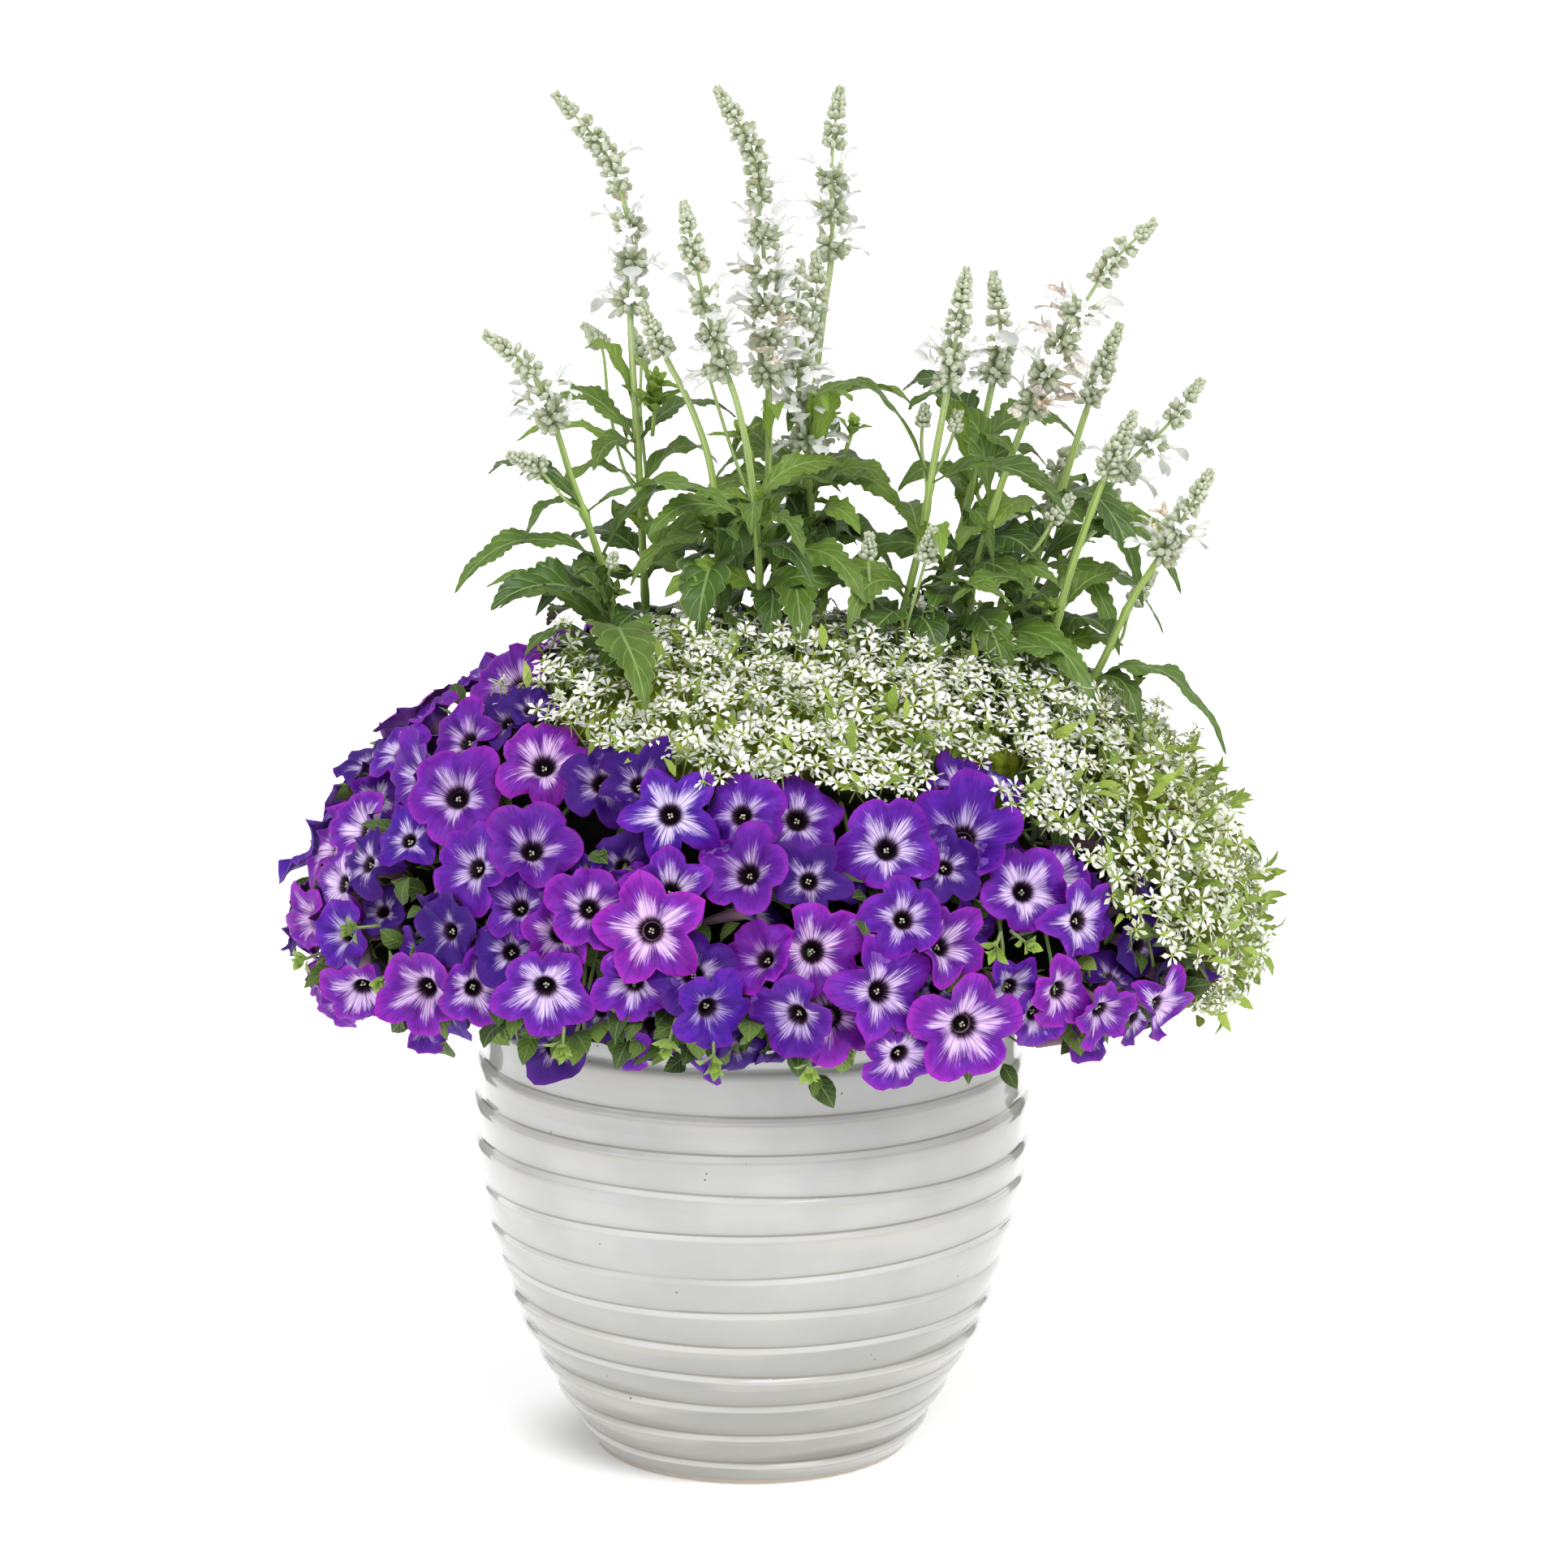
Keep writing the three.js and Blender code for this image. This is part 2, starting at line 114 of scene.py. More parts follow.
def circle(radius, turn, height=0.0):
    """Points of a level ring, or of one ring for each radius where radius is a column."""
    x = radius * np.cos(turn)
    return np.stack([x, radius * np.sin(turn), np.broadcast_to(height, x.shape)], -1)


def rigid(x, z):
    """Rows of a frame with x right and z up."""
    return np.stack([x, np.cross(z, x), z], -2)


def share_of(rand, typical, spread, low=0.0, high=1.0):
    """A random number near a typical one, kept between two limits."""
    return float(np.clip(rand.normal(typical, spread), low, high))


# Pieces, from many closed shapes

class Heap:
    """Closed shapes in mm that make up one piece.

    Each point has a spot, which is its place on its shape, and a tint.
    """

    def __init__(self, flat=()):
        """flat: the materials whose faces aren't smoothed."""
        self.batches, self.flat = [], flat

    def add(self, points, grids, spots, tint=(0, 0, 0), material=0):
        """tint is one for the whole shape, or one for each of its points."""
        self.add_many(points[None], grids, spots, np.array([tint], float), material)

    def add_many(self, points, grids, spots, tints, material=0):
        """points: copies x points x 3. grids: index grids over the points of one copy."""
        quads, places, left, tall = [], [], 0.0, 0.0
        first = points[0]
        for grid in grids:
            rows = first[grid]
            wide = np.linalg.norm(np.diff(rows, axis=1), axis=2).sum(1).max()
            high = np.linalg.norm(np.diff(rows, axis=0), axis=2).sum(0).max()
            u = left + np.linspace(0, wide, grid.shape[1])
            v = np.linspace(0, high, grid.shape[0])
            local = np.stack(np.broadcast_arrays(u[None, :], v[:, None]), -1)
            for out, at in ((quads, grid), (places, local)):
                out.append(np.stack([at[:-1, :-1], at[:-1, 1:], at[1:, 1:], at[1:, :-1]], 2)
                           .reshape((-1, 4) + at.shape[2:]))
            left += wide * 1.02
            tall = max(tall, high)
        quads, places = np.concatenate(quads), np.concatenate(places)
        a, b, c, d = (first[quads[:, k]] - first.mean(0) for k in range(4))
        if (a * np.cross(b, c)).sum() + (a * np.cross(c, d)).sum() < 0:
            quads, places = quads[:, ::-1], places[:, ::-1]
        spots = np.broadcast_to(spots, points.shape)
        tints = np.asarray(tints, float)
        tints = np.broadcast_to(tints[:, None] if tints.ndim == 2 else tints, points.shape)
        self.batches.append((points, quads, places, (left, tall), spots, tints, material))

    def add_tube(self, path, radii, around, tint, material=0, ribs=0, depth=0.0):
        points, grids, spots = tube(path, radii, around, ribs, depth)
        self.add(points, grids, spots, tint, material)

    def build(self, name, materials):
        """Makes the mesh object, with all its shapes laid side by side on the bake's map."""
        sizes = np.concatenate([np.tile(b[3], (len(b[0]), 1)) for b in self.batches])
        corner, scale = packed(sizes)
        quads, places, kinds, start, shape = [], [], [], 0, 0
        for points, faces, local, _, _, _, material in self.batches:
            many, count = points.shape[:2]
            offset = start + np.arange(many) * count
            quads.append((faces[None] + offset[:, None, None]).reshape(-1, 4))
            at = corner[shape:shape + many]
            places.append(((local[None] + at[:, None, None, :]) * scale).reshape(-1, 4, 2))
            kinds.append(np.full(many * len(faces), material))
            start += many * count
            shape += many
        quads, places, kinds = map(np.concatenate, (quads, places, kinds))
        keep = quads != np.roll(quads, -1, 1)
        whole = keep.sum(1) >= 3
        quads, places, kinds, keep = quads[whole], places[whole], kinds[whole], keep[whole]
        sides = keep.sum(1)

        used, loops = np.unique(quads[keep], return_inverse=True)
        mesh = bpy.data.meshes.new(name)
        mesh.vertices.add(len(used))
        mesh.loops.add(int(sides.sum()))
        mesh.polygons.add(len(sides))
        at = np.concatenate([b[0].reshape(-1, 3) for b in self.batches])[used] * MM
        mesh.vertices.foreach_set("co", at.astype(np.float32).ravel())
        mesh.loops.foreach_set("vertex_index", loops.ravel().astype(np.int32))
        mesh.polygons.foreach_set("loop_start", (np.cumsum(sides) - sides).astype(np.int32))
        mesh.polygons.foreach_set("loop_total", sides.astype(np.int32))
        mesh.polygons.foreach_set("material_index", kinds.astype(np.int32))
        mesh.update(calc_edges=True)
        mesh.polygons.foreach_set("use_smooth", ~np.isin(kinds, self.flat))
        mesh.set_sharp_from_angle(angle=SHARP_TURN)
        uv = mesh.uv_layers.new(name="OFBake")
        uv.uv.foreach_set("vector", places[keep].astype(np.float32).ravel())
        for attribute, row in (("spot", 4), ("tint", 5)):
            values = np.concatenate([b[row].reshape(-1, 3) for b in self.batches])[used]
            layer = mesh.attributes.new(attribute, "FLOAT_VECTOR", "POINT")
            layer.data.foreach_set("vector", values.astype(np.float32).ravel())
        for material in materials:
            mesh.materials.append(material)
        piece = bpy.data.objects.new(name, mesh)
        bpy.context.scene.collection.objects.link(piece)
        return piece


def packed(sizes):
    """Corners of rectangles laid in rows on a square, and the scale that makes the square 1 wide."""
    gap = 0.012 * math.sqrt((sizes[:, 0] * sizes[:, 1]).mean())
    order = np.argsort(-sizes[:, 1], kind="stable")
    side = math.sqrt((sizes + gap).prod(1).sum())
    side = max(side, sizes[:, 0].max() + gap)
    while True:
        places = np.zeros(sizes.shape)
        x = y = tall = 0.0
        for i in order:
            wide, high = sizes[i] + gap
            if x + wide > side:
                x, y, tall = 0.0, y + tall, 0.0
            places[i] = x, y
            x += wide
            tall = max(tall, high)
        if y + tall <= side:
            return places + gap / 2, 1 / side
        side *= 1.03


def place(heap, name, slot, materials, *nodes):
    """Builds a heap's piece, which rides on the frame and stands for the nodes."""
    piece = heap.build(name, materials)
    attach(piece, "root")
    if nodes:
        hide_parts(*nodes)
    return piece


# Shapes

def loft(rings, base=None, tip=None):
    """Points and grid of a closed shape through rings (rows x around x 3), ended by a point at each end."""
    rows, around = rings.shape[:2]
    base = rings[0].mean(0) if base is None else base
    tip = rings[-1].mean(0) if tip is None else tip
    points = np.concatenate([rings.reshape(-1, 3), [base], [tip]])
    count = rows * around
    grid = np.concatenate([pole(count, around + 1), ring_index(0, rows, around),
                           pole(count + 1, around + 1)])
    return points, grid


def frames_along(path):
    """Right and up vectors at each point of a path, turned as little as possible."""
    along = unit(np.gradient(path, axis=0))
    start = np.cross(along[0], [0.31, 0.95, 0.05] if abs(along[0][1]) < 0.9 else [1.0, 0, 0])
    across = [unit(start)]
    for step in along[1:]:
        last = across[-1]
        across.append(unit(last - (last @ step) * step))
    across = np.array(across)
    return across, np.cross(along, across)


def tube(path, radii, around, ribs=0, depth=0.0):
    """A closed tube. Its spots are cosine and sine round it, and the length along it in mm."""
    path = np.asarray(path, float)
    radii = np.broadcast_to(np.asarray(radii, float), (len(path),))
    across, over = frames_along(path)
    a = corners(around)
    wide = radii[:, None] * (1 + depth * np.cos(ribs * a)[None])
    rings = path[:, None] + wide[..., None] * (
        across[:, None] * np.cos(a)[None, :, None] + over[:, None] * np.sin(a)[None, :, None])
    points, grid = loft(rings, path[0], path[-1])
    run = np.concatenate([[0], np.cumsum(np.linalg.norm(np.diff(path, axis=0), axis=1))])
    round_it = np.broadcast_to(np.stack([np.cos(a), np.sin(a)], 1)[None], (len(path), around, 2))
    along = np.broadcast_to(run[:, None, None], (len(path), around, 1))
    spots = np.concatenate([round_it, along], 2).reshape(-1, 3)
    spots = np.concatenate([spots, [[0, 0, 0]], [[0, 0, run[-1]]]])
    return points, [grid], spots


def shell(front, thick, pointed=True):
    """A closed thin body on a grid (rows x columns x 3) that thins out to nothing at its border.

    Its last row is one point when pointed. Gives points, grids and which points are on the front.
    """
    rows, columns = front.shape[:2]
    along, across = np.gradient(front, axis=0), np.gradient(front, axis=1)
    normal = unit(np.cross(across, along))
    back = front - normal * thick
    index = np.arange(rows * columns).reshape(rows, columns)
    behind = index.copy()
    behind[1:-1, 1:-1] = rows * columns + np.arange((rows - 2) * (columns - 2)).reshape(rows - 2, -1)
    if pointed:
        index[-1] = behind[-1] = index[-1, columns // 2]
    points = np.concatenate([front.reshape(-1, 3), back[1:-1, 1:-1].reshape(-1, 3)])
    side = np.concatenate([np.ones(rows * columns), -np.ones((rows - 2) * (columns - 2))])
    return points, [index, behind[:, ::-1]], side


def leaf_shape(path, half, over, columns=7, thick=0.7, cup=0.15, droop=0.1, wave=0.0, teeth=0, bite=0.0,
               rand=None, quilt=0.0, veins=1, chance=0.0):
    """A leaf along a path. half: its half width at each row. cup and droop shape its section.

    wave ruffles its edges and quilt swells it between its veins, in mm.
    Spots: share along, share across from -1 to 1, and side.
    """
    rows = len(path)
    across = np.linspace(-1, 1, columns)
    along = np.linspace(0, 1, rows)
    tangent = unit(np.gradient(path, axis=0))
    sideways = unit(np.cross(tangent, over))
    upward = np.cross(sideways, tangent)
    edge = np.abs(across)
    scallop = 1 - np.abs(np.sin(math.pi * along * teeth)) ** 0.7
    notch = 1 - bite * scallop[:, None] * edge[None] ** 3 * (teeth > 0)
    reach = half[:, None] * across[None] * notch
    lift = half[:, None] * (cup * edge[None] - droop * edge[None] ** 2)
    if wave:
        turns = rand.uniform(2.2, 3.6)
        phases = rand.uniform(0, TURN, 2)
        ripple = np.where(across[None] < 0, np.sin(turns * TURN * along[:, None] + phases[0]),
                          np.sin(turns * TURN * along[:, None] + phases[1]))
        lift = lift + wave * ripple * edge[None] ** 2 * (half / half.max())[:, None]
    if quilt:
        run = (along[:, None] - 0.2 * edge[None] + 0.1 * chance) * veins
        lift = lift - (quilt * np.cos(TURN * run) * np.sin(math.pi * edge[None])
                       * smooth(0.1, 0.3, along)[:, None])
    front = path[:, None] + sideways[:, None] * reach[..., None] + upward[:, None] * lift[..., None]
    points, grids, side = shell(front, thick)
    spots = np.zeros((len(points), 3))
    spots[:rows * columns, 0] = np.repeat(along, columns)
    spots[:rows * columns, 1] = np.tile(across, rows)
    spots[rows * columns:, 0] = np.repeat(along[1:-1], columns - 2)
    spots[rows * columns:, 1] = np.tile(across[1:-1], rows - 2)
    spots[:, 2] = side
    return points, grids, spots


def joined(shapes):
    """Several closed shapes, each (points, grids, spots), as one."""
    start, grids = 0, []
    for points, some, _ in shapes:
        grids += [grid + start for grid in some]
        start += len(points)
    return np.concatenate([x[0] for x in shapes]), grids, np.concatenate([x[2] for x in shapes])


def copies(shape, origins, frames, sizes):
    """Points of many copies of a shape, each turned by its frame and scaled."""
    return (shape[None] * sizes[:, None, None]) @ frames + origins[:, None]


def one_copy(shape, origin, turned, size):
    return copies(shape, origin[None], turned[None], np.array([size]))[0]


def dealt(rand, shapes, count):
    """Deals the shapes out at random to count copies: gives each shape with the numbers of its copies."""
    pick = rand.integers(0, len(shapes), count)
    for k, shape in enumerate(shapes):
        at = np.nonzero(pick == k)[0]
        if len(at):
            yield shape, at


# The mound that the flowers make

def belt(turn):
    c, s = np.cos(turn), np.sin(turn)
    return (np.where(c > 0, BELT_RIGHT, BELT_LEFT) * c * c
            + np.where(s > 0, BELT_BACK, BELT_FRONT) * s * s)


def dome(turn, rise, layer=0.0):
    """Points on the mound, a layer below its face. turn runs anticlockwise from +X, in radians."""
    turn, rise, layer = np.broadcast_arrays(turn, rise, layer)
    above = rise > 0
    reach = np.where(above, np.cos(rise), np.abs(np.cos(rise)) ** SKIRT_FULLNESS)
    tall = np.where(above, CROWN - layer, SKIRT - 0.5 * layer)
    r = (belt(turn) - layer) * reach
    return np.stack([r * np.cos(turn), r * np.sin(turn), BELT_HEIGHT + tall * np.sin(rise)], -1)


def dome_normal(turn, rise):
    e = 0.01
    round_it = dome(turn + e, rise) - dome(turn - e, rise)
    upward = dome(turn, rise + e) - dome(turn, rise - e)
    return unit(np.cross(round_it, upward))


def outside_by(points, layer):
    """How far points lie outside the mound's face, in mm, level."""
    turn = np.arctan2(points[..., 1], points[..., 0])
    up = points[..., 2] - BELT_HEIGHT
    tall = np.where(up > 0, CROWN - layer, SKIRT - 0.5 * layer)
    sine = np.clip(np.abs(up) / tall, 0, 1)
    cosine = np.sqrt(1 - sine ** 2)
    wide = (belt(turn) - layer) * np.where(up > 0, cosine, cosine ** SKIRT_FULLNESS)
    r = np.hypot(points[..., 0], points[..., 1])
    return r - wide + np.maximum(np.abs(up) - tall, 0)


def at_pixel(x, y, layer=0.0):
    """Turn and rise of the mound's point that shows at a pixel of the photograph."""
    middle = FRAME_SIDE / 2
    ray = unit(np.array([x - middle, math.cos(PITCH) * FOCAL - math.sin(PITCH) * (y - middle),
                         -math.sin(PITCH) * FOCAL - math.cos(PITCH) * (y - middle)]))
    points = EYE + np.arange(2900, 3800, 1.0)[:, None] * ray
    out = outside_by(points, layer)
    inside = np.nonzero(out < 0)[0]
    point = points[inside[0] if len(inside) else np.argmin(out)]
    up = point[2] - BELT_HEIGHT
    tall = CROWN - layer if up > 0 else SKIRT - 0.5 * layer
    return math.atan2(point[1], point[0]), math.asin(max(-0.98, min(0.98, up / tall)))


def pixel_of(points):
    """Where points in mm show in the photograph."""
    away = points - EYE
    ahead = away[..., 1] * math.cos(PITCH) - away[..., 2] * math.sin(PITCH)
    down = -away[..., 1] * math.sin(PITCH) - away[..., 2] * math.cos(PITCH)
    middle = FRAME_SIDE / 2
    return np.stack([middle + FOCAL * away[..., 0] / ahead, middle + FOCAL * down / ahead], -1)


def scattered(rand, tries, spacing, spread, taken=()):
    """Points on the mound that keep a spacing, from spread(rand), which gives (turn, rise)."""
    kept, places = [], [np.asarray(p) for p in taken]
    for _ in range(tries):
        turn, rise = spread(rand)
        if turn is None:
            continue
        point = dome(turn, rise)
        if places and np.min(np.linalg.norm(np.array(places) - point, axis=1)) < spacing:
            continue
        places.append(point)
        kept.append((turn, rise))
    return np.array(kept)


# Materials

def tone(r, g, b):
    """The linear colour of these display values, 0 to 255."""
    def linear(c):
        c /= 255
        return c / 12.92 if c <= 0.04045 else ((c + 0.055) / 1.055) ** 2.4
    return linear(r), linear(g), linear(b), 1.0


class Shade:
    """A node material round one Principled shader. Constants are set on the shader's own sockets."""

    def __init__(self, name, **constants):
        self.material = bpy.data.materials.new(name)
        self.material.use_nodes = True
        self.tree = self.material.node_tree
        self.shader = self.tree.nodes["Principled BSDF"]
        for socket, value in constants.items():
            self.put(self.shader.inputs[socket.replace("_", " ")], value)

    def put(self, socket, value):
        if isinstance(value, bpy.types.NodeSocket):
            self.tree.links.new(value, socket)
        else:
            socket.default_value = value

    def node(self, kind, inputs, **settings):
        made = self.tree.nodes.new("ShaderNode" + kind)
        for key, value in settings.items():
            setattr(made, key, value)
        for key, value in inputs.items():
            self.put(made.inputs[key], value)
        return made

    def attribute(self, name):
        """The three parts of a point attribute."""
        vector = self.node("Attribute", {}, attribute_name=name).outputs["Vector"]
        return self.node("SeparateXYZ", {0: vector}).outputs[:3]

    def position(self):
        return self.node("TexCoord", {}).outputs["Object"]

    def vector(self, x, y, z):
        return self.node("CombineXYZ", {0: x, 1: y, 2: z}).outputs[0]

    def math(self, operation, *values):
        return self.node("Math", dict(enumerate(values)), operation=operation).outputs[0]

    def sum(self, first, *rest):
        for value in rest:
            first = self.math("ADD", first, value)
        return first

    def times(self, first, *rest):
        for value in rest:
            first = self.math("MULTIPLY", first, value)
        return first

    def noise(self, vector, scale, detail=2.0, roughness=0.55):
        return self.node("TexNoise", {"Vector": vector, "Scale": scale, "Detail": detail,
                                      "Roughness": roughness}).outputs["Fac"]

    def cells(self, vector, scale):
        return self.node("TexVoronoi", {"Vector": vector, "Scale": scale}).outputs["Distance"]

    def step(self, value, low, high):
        """0 below low to 1 above high, or the other way round where low is the larger."""
        if isinstance(low, (int, float)) and isinstance(high, (int, float)) and low > high:
            ends = {1: high, 2: low, 3: 1.0, 4: 0.0}
        else:
            ends = {1: low, 2: high, 3: 0.0, 4: 1.0}
        return self.node("MapRange", {0: value, **ends}, interpolation_type="SMOOTHSTEP").outputs[0]

    def mix(self, share, a, b):
        return self.node("Mix", {0: share, 6: a, 7: b}, data_type="RGBA").outputs[2]

    def over(self, colour, paint, value, low, high, share=None):
        """Paints over a colour where value nears high, by a share at most."""
        amount = self.step(value, low, high)
        if share is not None:
            amount = self.times(amount, share)
        return self.mix(amount, colour, paint)

    def finish(self, colour, height=None, strength=0.3, distance=0.0005, roughness=None):
        self.put(self.shader.inputs["Base Color"], colour)
        if roughness is not None:
            self.put(self.shader.inputs["Roughness"], roughness)
        if height is not None:
            bump = self.node("Bump", {"Strength": strength, "Distance": distance, "Height": height})
            self.put(self.shader.inputs["Normal"], bump.outputs[0])
        return self.material


def petal_material():
    s = Shade("petunia_petal", Specular_IOR_Level=0.2, Sheen_Weight=0.06, Sheen_Roughness=0.35)
    x, y, side = s.attribute("spot")
    hue, star, dark = s.attribute("tint")
    rho = s.math("SQRT", s.sum(s.times(x, x), s.times(y, y)))
    angle = s.math("ARCTAN2", y, x)
    five = s.math("COSINE", s.times(angle, 5.0))
    c, t = s.math("COSINE", angle), s.math("SINE", angle)
    shift = s.times(s.sum(hue, dark, star), 37.0)
    broad = s.noise(s.vector(s.times(c, 3.0), s.times(t, 3.0), s.sum(s.times(rho, 2.4), shift)), 1.0, 3.0)
    fine = s.noise(s.vector(s.times(c, 21.0), s.times(t, 21.0), s.sum(s.times(rho, 2.2), shift)), 1.0, 3.0)
    patch = s.noise(s.vector(s.times(x, 4.0), s.times(y, 4.0), shift), 1.0, 3.0)
    ragged = s.sum(s.times(s.sum(broad, -0.5), 0.5), s.times(s.sum(fine, -0.5), 0.7))
    reach = s.sum(0.23, s.times(star, 0.26), s.times(five, 0.12), ragged)
    pale = s.times(s.step(s.sum(rho, s.times(reach, -1.0)), 0.17, -0.2),
                   s.math("MINIMUM", s.sum(0.5, s.times(star, 0.6)), 1.0), s.sum(0.62, s.times(fine, 0.66)))

    ground = s.mix(hue, tone(66, 12, 148), tone(122, 14, 152))
    ground = s.over(ground, tone(112, 44, 192), broad, 0.4, 0.68, 0.55)
    ground = s.over(ground, s.mix(hue, tone(84, 34, 176), tone(156, 50, 190)), patch, 0.42, 0.7, 0.45)
    ground = s.over(ground, tone(56, 12, 108), fine, 0.48, 0.3, 0.55)
    notch = s.times(s.step(five, -0.45, -1.0), s.step(rho, 0.98, 0.45), 0.5)
    ground = s.mix(notch, ground, tone(52, 12, 112))
    rim = s.times(s.step(s.sum(rho, s.times(ragged, 0.4)), 0.8, 1.02), s.sum(0.2, s.times(hue, 0.6)))
    ground = s.mix(rim, ground, tone(172, 36, 188))
    ground = s.over(ground, tone(44, 8, 100), dark, 0.05, 1.0, 0.8)
    star_tone = s.mix(hue, tone(232, 218, 255), tone(246, 210, 252))
    petal = s.mix(pale, ground, star_tone)
    vein = s.times(s.step(fine, 0.5, 0.36), s.step(rho, 0.75, 0.2), 0.7)
    midline = s.times(s.step(five, 0.97, 1.0), s.step(rho, 1.0, 0.5), 0.5)
    petal = s.mix(s.math("MAXIMUM", vein, midline), petal, tone(70, 18, 110))
    glow = s.times(s.step(rho, 0.32, 0.21), 0.6)
    petal = s.mix(glow, petal, tone(104, 32, 112))
    throat = s.step(s.sum(rho, s.times(s.sum(fine, -0.5), 0.22)), 0.27, 0.19)
    petal = s.mix(throat, petal, tone(26, 6, 28))

    back = s.mix(hue, tone(112, 74, 180), tone(152, 78, 184))
    back = s.over(back, tone(64, 24, 120), dark, 0.2, 1.0, 0.6)
    back = s.over(back, tone(84, 44, 128), fine, 0.5, 0.38, 0.6)
    back = s.over(back, tone(176, 150, 212), broad, 0.45, 0.7, 0.4)
    back = s.over(back, s.mix(fine, tone(104, 74, 96), tone(166, 138, 148)), rho, 0.34, 0.19)
    colour = s.over(back, petal, side, -0.15, 0.15)
    return s.finish(colour, s.sum(fine, broad), 0.5, 0.0008, s.sum(0.38, s.times(fine, 0.24)))


def leaf_material(name, deep, middle, young, under, veins, slant, vein_tone, shine, hair=0.15):
    """Leaf with a midrib and side veins. tint: youth, a random share, and how deep its green is."""
    s = Shade(name, Specular_IOR_Level=0.42, Sheen_Weight=hair, Sheen_Roughness=0.4)
    along, across, side = s.attribute("spot")
    youth, chance, depth = s.attribute("tint")
    out = s.math("ABSOLUTE", across)
    run = s.times(s.sum(along, s.times(out, -slant), s.times(chance, 0.1)), float(veins))
    ladder = s.math("PINGPONG", run, 0.5)
    side_vein = s.times(s.step(ladder, 0.07, 0.0), s.step(out, 1.0, 0.7), 0.8)
    midrib = s.step(out, 0.075, 0.025)
    veined = s.math("MAXIMUM", side_vein, midrib)
    cloud = s.noise(s.position(), 55.0, 3.0)
    grain = s.noise(s.position(), 900.0, 2.0)
    green = s.over(deep, middle, s.sum(cloud, s.times(chance, 0.3)), 0.35, 0.85)
    green = s.mix(s.times(depth, 0.6), green, deep)
    green = s.mix(youth, green, young)
    green = s.over(green, middle, ladder, 0.1, 0.5, 0.25)
    green = s.mix(s.times(veined, 0.62), green, vein_tone)
    green = s.over(green, vein_tone, out, 0.93, 0.995, 0.55)
    # The underside: its own paler green, brightened as painted light for the glow of light shining through
    # the leaf
    below = s.mix(youth, s.mix(cloud, under, middle), young)
    below = s.mix(s.times(veined, 0.7), below, vein_tone)
    colour = s.over(below, green, side, -0.2, 0.2)
    height = s.sum(s.times(s.step(ladder, 0.0, 0.35), 0.8), s.times(midrib, -0.8), s.times(grain, 0.35))
    return s.finish(colour, height, 0.5, 0.0008, s.sum(shine, s.times(grain, 0.15)))


def stem_material(name, green, light, mealy):
    """A ribbed stem. tint: how mealy it is, and a random share."""
    s = Shade(name, Roughness=0.55, Sheen_Weight=0.2, Sheen_Roughness=0.4)
    c, t, along = s.attribute("spot")
    meal, chance, _ = s.attribute("tint")
    run = s.sum(s.times(along, 0.012), s.times(chance, 9.0))
    streak = s.noise(s.vector(s.times(c, 2.6), s.times(t, 2.6), run), 1.0, 3.0)
    grain = s.noise(s.position(), 1400.0, 2.0)
    colour = s.over(green, light, streak, 0.35, 0.65)
    colour = s.mix(s.times(meal, s.step(grain, 0.3, 0.6)), colour, mealy)
    return s.finish(colour, s.sum(streak, s.times(grain, 0.4)), 0.5, 0.0006)


def calyx_material():
    s = Shade("sage_calyx", Roughness=0.75, Sheen_Weight=0.35, Sheen_Roughness=0.5)
    _, _, along = s.attribute("spot")
    age, chance, _ = s.attribute("tint")
    grain = s.noise(s.position(), 1500.0, 3.0)
    cloud = s.noise(s.position(), 260.0, 2.0)
    colour = s.over(tone(146, 160, 106), tone(202, 208, 178), cloud, 0.3, 0.7)
    colour = s.over(colour, tone(228, 232, 212), grain, 0.44, 0.62, 0.7)
    colour = s.mix(s.times(chance, 0.35), colour, tone(128, 148, 92))
    colour = s.over(colour, tone(126, 150, 84), along, 0.3, 0.0, 0.5)
    colour = s.over(colour, tone(224, 228, 214), along, 0.72, 1.0, 0.55)
    colour = s.mix(s.times(age, 0.45), colour, tone(170, 140, 96))
    return s.finish(colour, s.sum(grain, cloud), 0.6, 0.0006)


def floret_material():
    s = Shade("sage_floret", Roughness=0.5, Sheen_Weight=0.2, Sheen_Roughness=0.4)
    along, across, _ = s.attribute("spot")
    age, chance, _ = s.attribute("tint")
    grain = s.noise(s.position(), 700.0, 3.0)
    cloud = s.noise(s.position(), 230.0, 2.0)
    colour = s.over(tone(252, 252, 250), tone(240, 242, 240), cloud, 0.3, 0.7)
    colour = s.over(colour, tone(220, 224, 200), along, 0.4, 0.0, 0.35)
    spoiled = s.times(age, s.step(s.sum(grain, s.times(cloud, 0.4)), 0.55, 0.75))
    colour = s.mix(spoiled, colour, s.mix(chance, tone(178, 138, 92), tone(208, 186, 146)))
    return s.finish(colour, grain, 0.3, 0.0004)


def bract_material():
    s = Shade("euphorbia_bract", Roughness=0.5, Sheen_Weight=0.15, Sheen_Roughness=0.4)
    _, across, along = s.attribute("spot")
    age, chance, _ = s.attribute("tint")
    cloud = s.noise(s.position(), 320.0, 2.0)
    colour = s.over(tone(252, 252, 248), tone(240, 242, 232), cloud, 0.3, 0.75)
    colour = s.over(colour, tone(196, 208, 112), along, 0.42, 0.05, 0.9)
    colour = s.mix(s.times(age, 0.55), colour, tone(194, 206, 112))
    return s.finish(colour, cloud, 0.2, 0.0003)


def plain_green(name, dark, light, roughness=0.6, scale=300.0):
    """Small green parts, mottled by their place. tint: a random share first."""
    s = Shade(name, Roughness=roughness, Sheen_Weight=0.2, Sheen_Roughness=0.4)
    chance, _, _ = s.attribute("tint")
    cloud = s.noise(s.position(), scale, 3.0)
    colour = s.over(dark, light, s.sum(cloud, s.times(s.sum(chance, -0.5), 0.35)), 0.3, 0.7)
    return s.finish(colour, cloud, 0.4, 0.0005)


